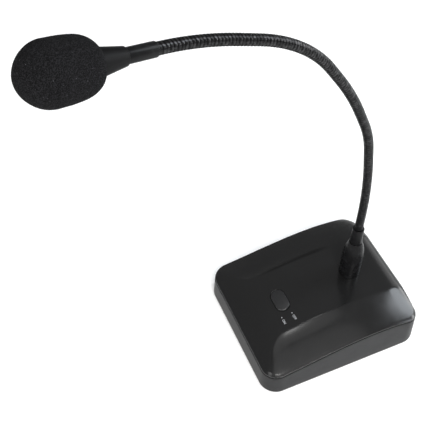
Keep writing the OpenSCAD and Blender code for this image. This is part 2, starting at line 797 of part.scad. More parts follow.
module holder_nut() {
    nut_top = cover_under_z - washer_t;
    color(brass) at_neck() difference() {
        translate([0, 0, nut_top - holder_nut_t])
            cylinder(r = holder_nut_w / 2 / cos(30), h = holder_nut_t, $fn = 6);
        upright(tail_r + fit_play, nut_top - holder_nut_t - over, nut_top + over);
    }
}

neck_r = neck_d / 2;
neck_hole_r = neck_r + fit_play;
root_z = lip_z + root_rise - root_l;

module lower_collar() {
    color(gloss_black) at_neck() rotate_extrude()
        polygon([[neck_bore_r, spigot_z], [spigot_r, spigot_z], [spigot_r, collar_z], [collar_r, collar_z],
                 [collar_r, collar_z + collar_foot_h], [collar_lip_r, lip_z - edge_break],
                 [collar_lip_r - edge_break, lip_z], [neck_hole_r + edge_break / 2, lip_z],
                 [neck_hole_r, lip_z - edge_break], [neck_hole_r, root_z], [neck_bore_r, root_z]]);
}

// Centre line of the gooseneck: each section runs straight, bends on an arc and runs straight again
section_l = [root_l, section_1_l, section_2_l, section_3_l, section_4_l, section_5_l];
joint_lean = [0, 0, section_1_lean, section_2_lean, section_3_lean, section_4_lean, head_lean];
joint_turn = [neck_turn, neck_turn, neck_turn, neck_turn, neck_turn, neck_turn, head_turn];
neck_side = [cos(neck_turn), sin(neck_turn), 0];

function joint_dir(i) =
    [sin(joint_lean[i]) * sin(joint_turn[i]), -sin(joint_lean[i]) * cos(joint_turn[i]), cos(joint_lean[i])];
function bend_angle(i) = acos(min(1, joint_dir(i) * joint_dir(i + 1)));
function bend_normal(i) =
    let (a = joint_dir(i), b = joint_dir(i + 1), n = b - a * (a * b))
    norm(n) < 0.0001 ? [0, 0, 0] : unit(n);
function joint_pos(i) = i == 0 ? [0, neck_y, root_z] : section_point(i - 1, section_l[i - 1]);
function section_point(i, s) =
    let (a = joint_dir(i), angle = bend_angle(i), arc = section_l[i] - 2 * neck_straight,
         q = max(0, min(arc, s - neck_straight)), start = joint_pos(i))
    angle < 0.01 ? start + a * s
    : let (r = arc / angle * 180 / PI, turned = angle * q / arc)
      start + a * min(s, neck_straight) + r * (sin(turned) * a + (1 - cos(turned)) * bend_normal(i))
      + joint_dir(i + 1) * max(0, s - neck_straight - arc);
function section_dir(i, s) =
    let (arc = section_l[i] - 2 * neck_straight, q = max(0, min(arc, s - neck_straight)),
         turned = bend_angle(i) * q / arc)
    unit(cos(turned) * joint_dir(i) + sin(turned) * bend_normal(i));

// Outline of a section from its lower end round to its bore, as [length along it, radius]
function ribbed(low, high) =
    let (n = floor((high - low) / rib_pitch), pitch = (high - low) / n)
    [for (k = [0 : n - 1]) each [[low + k * pitch, neck_r - rib_depth], [low + (k + 0.5) * pitch, neck_r]],
     [high, neck_r - rib_depth]];
ball_turns = [for (k = [0 : 4]) let (low = asin(bend_gap / 2 / ball_r), high = acos(ball_bore_r / ball_r))
              -low + (low + high) * k / 4];
cup_turns = [for (k = [0 : 3]) let (low = asin(bend_gap / 2 / cup_r), high = acos(neck_bore_r / cup_r))
             high + (low - high) * k / 3];
function ball_end(l) =
    concat([for (a = ball_turns) [l + ball_r * sin(a), ball_r * cos(a)]],
           [[l - bend_gap / 2 - 1, ball_bore_r], [l - bend_gap / 2 - 2, neck_bore_r]]);
function bore_rings(l) = [for (k = [5 : -1 : 1]) [l * k / 6, neck_bore_r]];
function section_outline(i) =
    let (l = section_l[i], low = i == 0 ? 0 : bend_gap / 2, high = i == 5 ? l : l - bend_gap / 2)
    concat(ribbed(low, high),
           i == 5 ? [[l, neck_bore_r]] : ball_end(l),
           bore_rings(l),
           i == 0 ? [[0, neck_bore_r]] : [for (a = cup_turns) [cup_r * sin(a), cup_r * cos(a)]]);

module neck_section(i) {
    outline = section_outline(i);
    m = len(outline);
    rings = [for (o = outline)
             let (p = section_point(i, o[0]), t = section_dir(i, o[0]),
                  side = unit(neck_side - t * (neck_side * t)), up = cross(t, side))
             for (k = [0 : sides - 1]) let (a = 360 * (k + 0.5) / sides)
             p + o[1] * (cos(a) * side + sin(a) * up)];
    faces = [for (j = [0 : m - 1]) for (k = [0 : sides - 1])
             let (next = (j + 1) % m, a = j * sides + k, b = j * sides + (k + 1) % sides,
                  d = next * sides + k, c = next * sides + (k + 1) % sides)
             each [[a, d, c], [a, c, b]]];
    color("#101012") polyhedron(rings, faces, convexity = 10);
}

module neck_root() { neck_section(0); }
module neck_section_1() { neck_section(1); }
module neck_section_2() { neck_section(2); }
module neck_section_3() { neck_section(3); }
module neck_section_4() { neck_section(4); }
module neck_section_5() { neck_section(5); }

echo(bending_points = [for (i = [1 : 5]) joint_pos(i)], head = joint_pos(6));
echo(button = [button_x, button_y, button_top], socket = [0, bush_end_y, socket_z]);

// Pieces of the head, with height measured along the head from the gooseneck's end
module at_head() {
    translate(joint_pos(6)) rotate([head_lean, 0, head_turn]) children();
}

taper_z = ferrule_l;
barrel_z = taper_z + taper_l;
housing_top = barrel_z + housing_barrel_l;
cavity_r = housing_r - housing_wall;
capsule_z = housing_top - capsule_l - capsule_deep;
grille_top = housing_top + grille_l;

module upper_ferrule() {
    color(gloss_black) at_head() rotate_extrude()
        polygon([[neck_bore_r, 0], [neck_hole_r, 0], [neck_hole_r, -ferrule_over],
                 [ferrule_r - edge_break, -ferrule_over], [ferrule_r, edge_break - ferrule_over],
                 [ferrule_r, ferrule_l - edge_break], [ferrule_r - edge_break, ferrule_l],
                 [ferrule_spigot_r, ferrule_l], [ferrule_spigot_r, ferrule_l + ferrule_spigot_l],
                 [neck_bore_r, ferrule_l + ferrule_spigot_l]]);
}

module mic_housing() {
    foot = taper_z + ferrule_spigot_l;
    socket_r = ferrule_spigot_r + fit_play;
    shelf_r = cavity_r - shelf_w;
    color(case_black) at_head() rotate_extrude()
        polygon([[socket_r, taper_z], [housing_foot_r - edge_break, taper_z],
                 [housing_foot_r, taper_z + edge_break], [housing_r, barrel_z], [housing_r, housing_top],
                 [cavity_r, housing_top], [cavity_r, capsule_z], [shelf_r, capsule_z],
                 [shelf_r, capsule_z - shelf_t], [neck_bore_r, foot + shelf_t], [neck_bore_r, foot],
                 [socket_r, foot]]);
}

module capsule_gasket() {
    color("#222224") at_head() difference() {
        upright(cavity_r - fit_play, capsule_z, capsule_z + capsule_l - capsule_proud);
        upright(capsule_r + fit_play, capsule_z - over, capsule_z + capsule_l);
    }
}

module capsule() {
    color(steel) at_head() difference() {
        face = capsule_z + capsule_l;
        upright(capsule_r, capsule_z, face);
        upright(capsule_hole_r, face - over, face + over);
        for (k = [0 : 5]) rotate(60 * k) translate([0.6 * capsule_r, 0, 0])
            upright(capsule_hole_r / 2, face - over, face + over);
    }
}

module grille_cap() {
    n = 5;
    shelf = housing_top + over;
    spigot_out = cavity_r - fit_play;
    spigot_in = spigot_out - grille_t;
    spigot_low = housing_top - grille_spigot_l;
    centre = [housing_r - grille_front_r, grille_top - grille_front_r];
    rim = [for (i = [0 : n]) let (a = 90 * i / n) centre + grille_front_r * [cos(a), sin(a)]];
    inner_r = grille_front_r - grille_t;
    hollow = [for (i = [n : -1 : 0]) let (a = 90 * i / n) centre + inner_r * [cos(a), sin(a)]];
    color(steel) at_head() difference() {
        rotate_extrude()
            polygon(concat([[housing_r, housing_top]], rim,
                           [[0, grille_top], [0, grille_top - grille_t]], hollow,
                           [[housing_r - grille_t, shelf], [spigot_in, shelf], [spigot_in, spigot_low],
                            [spigot_out, spigot_low], [spigot_out, housing_top]]));
        for (k = [0 : 5]) rotate(60 * k) translate([grille_ring_r, 0, 0])
            upright(grille_hole_r, shelf, grille_top + over);
        upright(grille_hole_r, shelf, grille_top + over);
    }
}

module windscreen() {
    n = 12;
    mouth = barrel_z - foam_over;
    wide = mouth + foam_wide;
    hole_r = housing_r + foam_play;
    nose_l = foam_l - foam_wide;
    mouth_power = 3.3;
    nose_power = 1.87;
    start = asin(pow(hole_r / foam_r, mouth_power / 2));
    back = [for (i = [0 : n]) let (a = start + (90 - start) * i / n)
            [foam_r * pow(sin(a), 2 / mouth_power), wide - foam_wide * pow(cos(a), 2 / mouth_power)]];
    nose = [for (i = [1 : n]) let (a = 90 - 90 * i / n)
            [i == n ? 0 : foam_r * pow(sin(a), 2 / nose_power), wide + nose_l * pow(cos(a), 2 / nose_power)]];
    color(foam_black) at_head() rotate_extrude()
        polygon(concat(back, nose, [[0, grille_top + foam_play], [hole_r, grille_top + foam_play]]));
}

bottom_case();
top_cover();
non_slip_pad();
ballast_plate();
ballast_screws();
case_screws();
circuit_board();
board_screws();
switch_body();
switch_plunger();
button_cap();
output_socket();
socket_nut();
neck_lead();
socket_lead();
neck_holder();
holder_washer();
holder_nut();
lower_collar();
neck_root();
neck_section_1();
neck_section_2();
neck_section_3();
neck_section_4();
neck_section_5();
upper_ferrule();
mic_housing();
capsule_gasket();
capsule();
grille_cap();
windscreen();
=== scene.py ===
"""Looks of a desk conference microphone: a moulded base, a push button, a gooseneck and a foam windscreen.

Every size is in metres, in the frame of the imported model: the origin is on the desk under the middle of the
base, +X is the speaker's right, +Y points to the rear of the base and +Z points up.
"""

import json
import math

import bmesh
import bpy
from mathutils import Matrix, Vector, kdtree, noise


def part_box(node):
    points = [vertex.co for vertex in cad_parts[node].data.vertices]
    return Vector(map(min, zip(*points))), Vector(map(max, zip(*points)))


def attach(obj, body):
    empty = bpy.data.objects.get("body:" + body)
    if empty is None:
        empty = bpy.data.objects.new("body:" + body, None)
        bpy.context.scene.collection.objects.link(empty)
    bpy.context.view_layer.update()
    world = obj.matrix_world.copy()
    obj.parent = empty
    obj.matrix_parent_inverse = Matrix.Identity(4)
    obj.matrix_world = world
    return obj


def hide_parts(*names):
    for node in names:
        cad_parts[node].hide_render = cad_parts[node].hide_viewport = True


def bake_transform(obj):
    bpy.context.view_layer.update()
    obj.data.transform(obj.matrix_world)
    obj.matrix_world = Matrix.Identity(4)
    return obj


bl_info = {
    "name": "Desk conference microphone",
    "version": (1, 0, 0),
    "blender": (4, 5, 0),
    "location": "View3D > Sidebar > Microphone",
    "description": "Models and finishes a gooseneck conference microphone round its packed frame",
    "category": "Object",
}

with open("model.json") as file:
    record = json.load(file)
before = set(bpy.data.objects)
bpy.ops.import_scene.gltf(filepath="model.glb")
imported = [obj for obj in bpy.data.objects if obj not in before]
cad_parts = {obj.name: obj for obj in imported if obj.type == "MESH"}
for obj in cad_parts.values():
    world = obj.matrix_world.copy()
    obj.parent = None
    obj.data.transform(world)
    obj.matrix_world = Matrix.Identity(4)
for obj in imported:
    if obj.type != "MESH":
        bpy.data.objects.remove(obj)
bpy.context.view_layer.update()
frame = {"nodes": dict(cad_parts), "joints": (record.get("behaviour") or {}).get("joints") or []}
MM = 0.001
TURN = 2 * math.pi
QUARTER = math.pi / 2
SHARP = 35          # degrees past which an edge stays crisp
MERGE = 1e-7        # points closer than this are one
TINY = 1e-6         # a length or turn that counts as none
FIT = 0.05 * MM     # play between turned pieces that fit into each other


def size(name, description, millimetres):
    """A length that a user may change, given in millimetres."""
    return bpy.props.FloatProperty(name=name, description=description, default=millimetres * MM,
                                   unit="LENGTH", precision=5)


def angle(name, description, degrees):
    """An angle that a user may change, given in degrees."""
    return bpy.props.FloatProperty(name=name, description=description, default=math.radians(degrees),
                                   subtype="ANGLE")


def share(name, description, value):
    """A plain number that a user may change."""
    return bpy.props.FloatProperty(name=name, description=description, default=value, precision=3)


def colour(name, description, rgb):
    """A colour that a user may change."""
    return bpy.props.FloatVectorProperty(name=name, description=description, default=rgb, size=3,
                                         subtype="COLOR", min=0.0, max=1.0)


def unit_share(value):
    """The value, kept between 0 and 1."""
    return max(0.0, min(1.0, value))


def soft_step(low, high, value):
    """Smooth rise from 0 at low to 1 at high."""
    t = unit_share((value - low) / (high - low))
    return t * t * (3 - 2 * t)


def mix(a, b, t):
    """The value a share t of the way from a to b."""
    return a + (b - a) * t


def ring_places(corner_steps, side_steps):
    """Places round a rounded rectangle: four corner arcs and the sides between them."""
    places = []
    for quarter in range(4):
        places += [(quarter, True, i / corner_steps) for i in range(corner_steps + 1)]
        steps = side_steps[quarter % 2]
        places += [(quarter, False, i / steps) for i in range(1, steps)]
    return places


def ring_point(half_w, half_d, radius, place):
    """The point of a rounded rectangle at one place of its ring."""
    quarter, on_corner, part = place

    def corner(q):
        sx = 1 if q % 4 in (0, 3) else -1
        sy = 1 if q % 4 < 2 else -1
        return Vector((sx * (half_w - radius), sy * (half_d - radius)))

    turn = QUARTER * (quarter + (part if on_corner else 1))
    arm = radius * Vector((math.cos(turn), math.sin(turn)))
    if on_corner:
        return corner(quarter) + arm
    return corner(quarter).lerp(corner(quarter + 1), part) + arm


def flat_row(half_w, half_d, radius, z, places):
    """Ring of points round a rounded rectangle at one height."""
    return [ring_point(half_w, half_d, radius, place).to_3d() + Vector((0, 0, z)) for place in places]


def quarter_arc(radius, steps):
    """Steps of (inset, drop) round an edge, from its flat top to its upright side."""
    turns = [QUARTER * k / steps for k in range(steps + 1)]
    return [(radius * (1 - math.sin(turn)), radius * (1 - math.cos(turn))) for turn in turns]


CASE_PLACES = ring_places(18, (48, 72))
PILL_PLACES = ring_places(12, (10, 2))
PLATE_PLACES = ring_places(8, (6, 8))


class BaseSizes(bpy.types.PropertyGroup):
    """Sizes of the moulded base, and the surface that follows from them."""

    width: size("Width", "Width of the base at the desk", 140)
    depth: size("Depth", "Depth of the base at the desk", 166)
    corner_r: size("Corner radius", "Plan radius of the base's corners", 17)
    least_r: size("Least ring radius", "Smallest corner radius of the rings on the cover", 6)
    lean: share("Wall lean", "How far a wall leans in for each unit of height", 0.05)
    wall: size("Wall", "Thickness of the case walls", 2.5)
    floor_t: size("Floor", "Thickness of the case floor", 3)
    desk_gap: size("Desk gap", "Air between the desk and the case floor", 1)
    foot_r: size("Foot radius", "Radius of the rounded lower edge of the walls", 1.6)
    rim_front: size("Front rim", "Height of the wall's rim at the front", 24)
    rim_front_pull: size("Front pull", "Pull on the rim's curve behind the front corner", 29.5)
    rim_rear_pull: size("Rear pull", "Pull on the rim's curve ahead of the rear corner", 51)
    rim_rear: size("Rear rim", "Height of the wall's rim at the rear", 31)
    rim_gap: size("Parting gap", "Open joint between the wall's rim and the cover", 1)
    edge_h: size("Cover edge", "Height of the cover's own edge above the rim", 1.2)
    edge_level: size("Edge level", "Mean height of the cover's edge, where its outline is taken", 40)
    edge_turn: size("Edge turn", "Width of the rounded top of the cover's edge", 0.4)
    reveal: size("Reveal", "How far the cover's edge stands in from the wall", 0.4)
    cover_t: size("Cover", "Thickness of the cover", 2.8)
    lip_h: size("Lip", "Depth of the cover's locating lip below the rim", 4)
    peak_z: size("Panel peak", "Height of the panel's highest line", 50.4)
    peak_y: size("Peak place", "Place of the panel's highest line, front to rear", 32)
    panel_r: size("Panel radius", "Radius of the panel along the base", 410)
    nose_y: size("Nose start", "Where the front nose leaves the panel", -52)
    nose_r: size("Nose radius", "Radius of the front nose", 56)
    rear_run: size("Rear run", "Length of the rounded fall to the rear top edge", 20)
    rear_drop: size("Rear drop", "Height of the rounded fall to the rear top edge", 8.2)
    panel_half: size("Panel half width", "Half width of the raised panel", 33.5)
    hip_y: size("Hip start", "Where the panel's edge starts to turn out to the front corners", -48)
    hip_in: size("Hip margin", "Distance of the panel's edge from the cover's edge at the front corners", 3)
    step_tip: size("Step tip", "Where the step beside the panel starts at the front", -78)
    step_full: size("Step full", "Where the step beside the panel is full", -50)
    step_fade: size("Step fade", "Where the step beside the panel starts to fade", -30)
    step_rear: size("Step rear", "Where the step beside the panel has faded to its rear share", 40)
    step_share: share("Step share", "Share of the fall that the step takes", 0.25)
    rear_step: share("Rear step", "Share of the step that is left at the rear", 0.25)
    step_reach: share("Step reach", "Share of the slope's width that the step takes", 0.35)
    fall_power: share("Fall power", "Roundness of the slope beside the panel", 1.5)
    pad_half_w: size("Pad half width", "Half width of the rubber pad", 45)
    pad_half_d: size("Pad half depth", "Half depth of the rubber pad", 68)
    pad_r: size("Pad corner", "Corner radius of the rubber pad", 8)
    pad_t: size("Pad", "Thickness of the rubber pad", 2)
    pad_play: size("Pad play", "Play between the pad and its recess", 0.2)
    screw_r: size("Screw head", "Head radius of the case screws", 3)
    screw_play: size("Screw play", "Play round a case screw's head", 0.35)
    screw_seat: size("Screw seat", "Height of the case screws' seats", 6)
    socket_z: size("Socket height", "Height of the output socket's axis", 18)
    socket_bore_r: size("Socket bore", "Radius of the output socket's bore", 3.2)
    socket_depth: size("Socket depth", "Depth of the output socket's bore", 30)
    bush_r: size("Bush", "Radius of the socket's threaded bush", 4.75)
    nut_w: size("Nut", "Width of the socket's nut across flats", 13)
    nut_t: size("Nut thickness", "Thickness of the socket's nut", 2.4)
    nut_seat: size("Nut seat", "Depth of the flat seat for the nut in the rear wall", 1.6)
    nut_room: size("Nut room", "Room for a spanner round the nut", 1)

    def rim_z(self, y):
        """Height of the wall's rim, a cubic curve from front to rear."""
        t = y / self.depth + 0.5
        q = 1 - t
        return (q ** 3 * self.rim_front + 3 * q * q * t * self.rim_front_pull
                + 3 * q * t * t * self.rim_rear_pull + t ** 3 * self.rim_rear)

    def edge_inset(self):
        """How far the walls have leaned in at the cover's edge."""
        return self.edge_level * self.lean

    def panel_slope(self, y):
        """Angle at which the panel rises towards the rear."""
        return math.asin((self.peak_y - y) / self.panel_r)

    def crown_z(self, y):
        """Height of the cover's middle line: a nose arc, a panel arc and a rounded fall at the rear."""
        centre_y = self.peak_y
        centre_z = self.peak_z - self.panel_r
        radius = self.panel_r
        if y < self.nose_y:
            slope = (self.nose_y - self.peak_y) / self.panel_r
            reach = self.panel_r - self.nose_r
            centre_y += reach * slope
            centre_z += reach * math.sqrt(1 - slope * slope)
            radius = self.nose_r
        arc = centre_z + math.sqrt(max(0.0, radius ** 2 - (y - centre_y) ** 2))
        rear_y = self.depth / 2 - self.edge_inset() - self.rear_run
        rear = unit_share((y - rear_y) / self.rear_run)
        return arc - self.rear_drop * (1 - math.sqrt(1 - rear * rear))

    def surface_z(self, x, y):
        """Height of the cover: a raised panel, a soft step beside it and a rounded fall to the rim."""
        low = self.rim_z(y) + self.rim_gap + self.edge_h
        edge_x = self.width / 2 - self.edge_inset()
        flare = max(0.0, (self.hip_y - y) / (self.depth / 2 + self.hip_y)) ** 2
        crease = mix(self.panel_half, edge_x - self.hip_in, flare)
        out = unit_share((abs(x) - crease) / (edge_x - crease))
        step = (self.step_share * soft_step(self.step_tip, self.step_full, y)
                * mix(1, self.rear_step, soft_step(self.step_fade, self.step_rear, y)))
        fall = step * max(0.0, 1 - out / self.step_reach) ** 2 + (1 - step) * (1 - out ** self.fall_power)
        return low + max(0.0, self.crown_z(y) - low) * fall

    def plan_point(self, inset, place):
        """Point of the base's outline, drawn in by an inset."""
        radius = min(max(self.corner_r - inset, self.least_r), self.width / 2 - inset)
        return ring_point(self.width / 2 - inset, self.depth / 2 - inset, radius, place)

    def leaning_row(self, inset, height_at):
        """Ring of points drawn in by an inset and by the walls' lean, at the heights that height_at gives."""
        row = []
        for place in CASE_PLACES:
            height = self.rim_z(self.plan_point(inset, place).y) - self.desk_gap
            p = self.plan_point(inset + self.lean * height, place)
            row.append(Vector((p.x, p.y, height_at(p))))
        return row

    def surface_row(self, inset, drop=0.0):
        """Ring of points on the cover's surface, or a distance below it."""
        return self.leaning_row(inset, lambda p: self.surface_z(p.x, p.y) - drop)

    def rim_row(self, inset, lift):
        """Ring of points a lift above the wall's rim."""
        return self.leaning_row(inset, lambda p: self.rim_z(p.y) + lift)

    def wall_row(self, inset, height, part=0.0):
        """Ring of points on the leaning walls, a share of the way from a height up to the rim."""
        row = []
        for place in CASE_PLACES:
            z = mix(height, self.rim_z(self.plan_point(inset, place).y), part)
            p = self.plan_point(inset + self.lean * (z - self.desk_gap), place)
            row.append(Vector((p.x, p.y, mix(height, self.rim_z(p.y), part))))
        return row

    def rear_wall_y(self):
        """Place of the rear wall's face at the height of the socket."""
        return self.depth / 2 - self.lean * (self.socket_z - self.desk_gap)

    def socket_axis(self):
        """Place of a turned piece whose axis runs out through the rear wall at the socket."""
        return Matrix.Translation((0, 0, self.socket_z)) @ Matrix.Rotation(-QUARTER, 4, "X")

    def screw_places(self):
        """Place of each case screw, and the turn that it was left at."""
        x = self.width / 2 - self.corner_r
        y = self.depth / 2 - self.corner_r
        return [(sx * x, sy * y, 0.4 * sx + 0.9 * sy) for sx in (-1, 1) for sy in (-1, 1)]


class ButtonSizes(bpy.types.PropertyGroup):
    """Sizes of the push button and of the marks printed beside it."""

    x: size("Place across", "Place of the button, left to right", 1.5)
    y: size("Place along", "Place of the button, front to rear", -38.5)
    length: size("Length", "Length of the button", 24)
    width: size("Width", "Width of the button", 13.4)
    rise: size("Rise", "Height of the button above the panel", 1.6)
    crown_r: size("Crown", "Radius of the button's crown", 90)
    edge_r: size("Edge", "Radius of the button's rounded edge", 1.1)
    gap: size("Gap", "Gap round the button", 0.5)
    mouth_r: size("Mouth edge", "Radius of the rounded edge of the button's hole", 0.3)
    skirt: size("Skirt", "Depth of the button's skirt below its crown", 7)
    flange: size("Flange", "Width of the stop flange round the button's foot", 1.3)
    flange_t: size("Flange thickness", "Thickness of the stop flange", 1.4)
    mark_x: size("Mark place", "Place of the printed dots, left to right", 19.0)
    mark_dot_r: size("Mark dot", "Radius of a printed dot", 0.55)
    word_x: size("Word place", "Where the printed words start, left to right", 21.4)
    word_h: size("Word size", "Size of the printed letters", 3.2)
    mark_rear_y: size("Rear mark", "Place of the rear mark, front to rear", -34.4)
    mark_front_y: size("Front mark", "Place of the front mark, front to rear", -45.1)
    ink_t: size("Ink", "Thickness of the print", 0.04)


class NeckSizes(bpy.types.PropertyGroup):
    """Sizes of the neck's holder and of the gooseneck, and its centre line."""

    y: size("Place", "Place of the neck, front to rear", 37.4)
    seat: size("Seat", "Depth of the holder's seat in the panel", 0.4)
    holder_r: size("Holder", "Radius of the holder's barrel", 10.25)
    barrel_h: size("Barrel", "Height of the holder's barrel", 25)
    shoulder_h: size("Shoulder", "Height of the holder's shoulder", 22.5)
    shoulder_r: size("Shoulder top", "Radius at the top of the shoulder", 6.2)
    tail_r: size("Tail", "Radius of the threaded tail below the panel", 7)
    tail_l: size("Tail length", "Length of the threaded tail below the panel", 15)
    lead_bore_r: size("Lead bore", "Radius of the lead's bore in the holder", 3.2)
    wire_r: size("Wire bore", "Radius of the wires' bore through the collar and the head", 2.1)
    collar_r: size("Collar foot", "Radius of the collar at its foot", 5.8)
    collar_lip_r: size("Collar lip", "Radius of the collar at its lip", 5.4)
    collar_h: size("Collar", "Height of the collar above the shoulder", 19.5)
    spigot_r: size("Spigot", "Radius of the collar's spigot in the holder", 4.9)
    spigot_l: size("Spigot length", "Length of the collar's spigot", 12)
    diameter: size("Gooseneck", "Outer diameter of the gooseneck", 8)
    rib_pitch: size("Rib pitch", "Distance from rib to rib", 2.7)
    rib_depth: size("Rib depth", "Depth of the valleys between the ribs", 0.25)
    straight: size("Straight end", "Straight length at each end of a section", 8)
    root_l: size("Root", "Length of the root from the collar's floor to the first bend", 29)
    root_rise: size("Root rise", "Height of the first bending point above the collar's lip", 10.5)
    section_1_l: size("Section 1", "Length of the first section", 90)
    section_2_l: size("Section 2", "Length of the second section", 53)
    section_3_l: size("Section 3", "Length of the third section", 68)
    section_4_l: size("Section 4", "Length of the fourth section", 95)
    section_5_l: size("Section 5", "Length of the fifth section", 75)
    lean_1: angle("Lean 1", "Lean from upright at the top of the first section", 9.5)
    lean_2: angle("Lean 2", "Lean from upright at the top of the second section", 25)
    lean_3: angle("Lean 3", "Lean from upright at the top of the third section", 34.5)
    lean_4: angle("Lean 4", "Lean from upright at the top of the fourth section", 67)
    head_lean: angle("Head lean", "Lean from upright at the head", 74)
    turn: angle("Turn", "Turn of the gooseneck's plane to the speaker's right", 7.5)
    head_turn: angle("Head turn", "Turn of the head to the speaker's right", 17)

    def heights(self, base):
        """Heights of the holder's seat and shoulder, the collar and its lip, and the gooseneck's foot."""
        seat = base.crown_z(self.y) - self.seat
        shoulder = seat + self.barrel_h
        collar = shoulder + self.shoulder_h
        lip = collar + self.collar_h
        return seat, shoulder, collar, lip, lip + self.root_rise - self.root_l

    def lengths(self):
        """Lengths of the root and of the five sections."""
        return [self.root_l, self.section_1_l, self.section_2_l, self.section_3_l, self.section_4_l,
                self.section_5_l]

    def directions(self):
        """Directions of the gooseneck at its foot, at its bending points and at the head."""
        leans = [0, 0, self.lean_1, self.lean_2, self.lean_3, self.lean_4, self.head_lean]
        turns = [self.turn] * 6 + [self.head_turn]
        return [Vector((math.sin(a) * math.sin(t), -math.sin(a) * math.cos(t), math.cos(a)))
                for a, t in zip(leans, turns)]

    def centre_line(self, base, step):
        """Points, directions and lengths along the gooseneck, and where each section ends."""
        rows = []
        ends = []
        run = 0.0
        start = Vector((0, self.y, self.heights(base)[-1]))
        dirs = self.directions()
        for i, length in enumerate(self.lengths()):
            a, b = dirs[i], dirs[i + 1]
            turn = a.angle(b)
            arc = length - 2 * self.straight
            normal = (b - a * a.dot(b)).normalized() if turn > TINY else Vector()
            count = max(2, round(length / step))

            def along(s):
                q = max(0.0, min(arc, s - self.straight))
                turned = turn * q / arc
                bend = a * q
                if turn > TINY:
                    bend = arc / turn * (math.sin(turned) * a + (1 - math.cos(turned)) * normal)
                point = start + a * min(s, self.straight) + bend + b * max(0.0, s - self.straight - arc)
                return point, (math.cos(turned) * a + math.sin(turned) * normal).normalized()

            for k in range(count):
                rows.append((*along(length * k / count), run + length * k / count))
            start = along(length)[0]
            run += length
            ends.append((start.copy(), run))
        rows.append((start.copy(), dirs[-1], run))
        return rows, ends


class HeadSizes(bpy.types.PropertyGroup):
    """Sizes of the microphone head, along its axis from the gooseneck's end."""

    ferrule_over: size("Ferrule overlap", "Length of the ferrule over the gooseneck's end", 5)
    ferrule_l: size("Ferrule", "Length of the ferrule past the gooseneck's end", 16)
    ferrule_r: size("Ferrule radius", "Outer radius of the ferrule", 4.7)
    ferrule_bore_r: size("Ferrule bore", "Radius of the ferrule's bore", 4.05)
    spigot_r: size("Spigot", "Radius of the ferrule's spigot in the housing", 3.9)
    spigot_l: size("Spigot length", "Length of the ferrule's spigot", 7)
    foot_r: size("Housing foot", "Radius of the housing where it meets the ferrule", 5.6)
    taper_l: size("Taper", "Length of the housing's taper", 18)
    housing_r: size("Housing", "Radius of the housing's barrel", 8.4)
    barrel_l: size("Barrel", "Length of the housing's barrel", 14)
    housing_wall: size("Housing wall", "Wall of the housing", 1.3)
    edge_r: size("Edge", "Radius of the turned edges", 0.5)
    grille_l: size("Grille", "Length of the grille cap inside the foam", 8)
    foam_l: size("Foam length", "Length of the foam windscreen", 48.5)
    foam_r: size("Foam radius", "Largest radius of the foam windscreen", 18)
    foam_wide: size("Foam belly", "Distance from the foam's mouth to its widest place", 29.5)
    foam_over: size("Foam overlap", "How far the foam reaches over the housing's taper", 0.5)
    foam_play: size("Foam play", "Play between the foam and the housing", 0.15)
    mouth_power: share("Mouth fullness", "Fullness of the foam towards its mouth", 3.3)
    nose_power: share("Nose fullness", "Fullness of the foam towards its nose", 1.87)
    cell: size("Foam cell", "Width of the foam's open cells", 0.75)
    cell_depth: size("Cell depth", "Depth of the foam's open cells", 0.12)
    lump: size("Foam lump", "Height of the foam's soft unevenness", 0.2)


class FinishColours(bpy.types.PropertyGroup):
    """Colours of the finishes, in linear light."""

    case: colour("Case plastic", "Textured black plastic of the case", (0.012, 0.0122, 0.013))
    cover: colour("Cover plastic", "Satin black plastic of the cover", (0.0088, 0.0088, 0.0090))
    button: colour("Button plastic", "Smooth black plastic of the button", (0.014, 0.0142, 0.0152))
    gloss: colour("Gloss black", "Polished black of the holder and the sleeves", (0.0080, 0.0080, 0.0085))
    neck: colour("Black plated steel", "Plating of the gooseneck", (0.007, 0.007, 0.0075))
    housing: colour("Housing plastic", "Satin black plastic of the head", (0.0045, 0.0045, 0.0048))
    foam: colour("Foam", "Open cell foam of the windscreen", (0.0055, 0.0055, 0.0060))
    rubber: colour("Rubber", "Rubber of the pad and the leads", (0.018, 0.018, 0.019))
    ink: colour("Ink", "Pale print beside the button", (0.42, 0.43, 0.45))
    floor: colour("Floor", "Pale floor", (0.93, 0.93, 0.93))


class StageSizes(bpy.types.PropertyGroup):
    """Camera and light."""

    azimuth: angle("Azimuth", "Direction of the camera round the object", 66.8)
    elevation: angle("Elevation", "Height of the camera above the horizon", 50.97)
    camera_x: size("Camera across", "Place of the camera, left to right", 362.9)
    camera_y: size("Camera along", "Place of the camera, front to rear", -261.4)
    camera_z: size("Camera height", "Height of the camera", 692.8)
    lens: share("Lens", "Focal length of the camera in millimetres, on a 36 mm sensor", 66.83)
    floor_half: size("Floor half width", "Half width of the floor", 3000)


SIZE_GROUPS = {"mic_base": BaseSizes, "mic_button": ButtonSizes, "mic_neck": NeckSizes,
               "mic_head": HeadSizes, "mic_colours": FinishColours, "mic_stage": StageSizes}


# Mesh helpers

def finish_mesh(bm, name, sharp=SHARP):
    """Turns a bmesh into a smooth object, with edges sharper than an angle kept crisp."""
    bmesh.ops.remove_doubles(bm, verts=bm.verts, dist=MERGE)
    bmesh.ops.dissolve_degenerate(bm, dist=MERGE, edges=bm.edges)
    bmesh.ops.recalc_face_normals(bm, faces=bm.faces)
    mesh = bpy.data.meshes.new(name)
    bm.to_mesh(mesh)
    bm.free()
    mesh.shade_smooth()
    mesh.set_sharp_from_angle(angle=math.radians(sharp))
    piece = bpy.data.objects.new(name, mesh)
    bpy.context.scene.collection.objects.link(piece)
    return piece


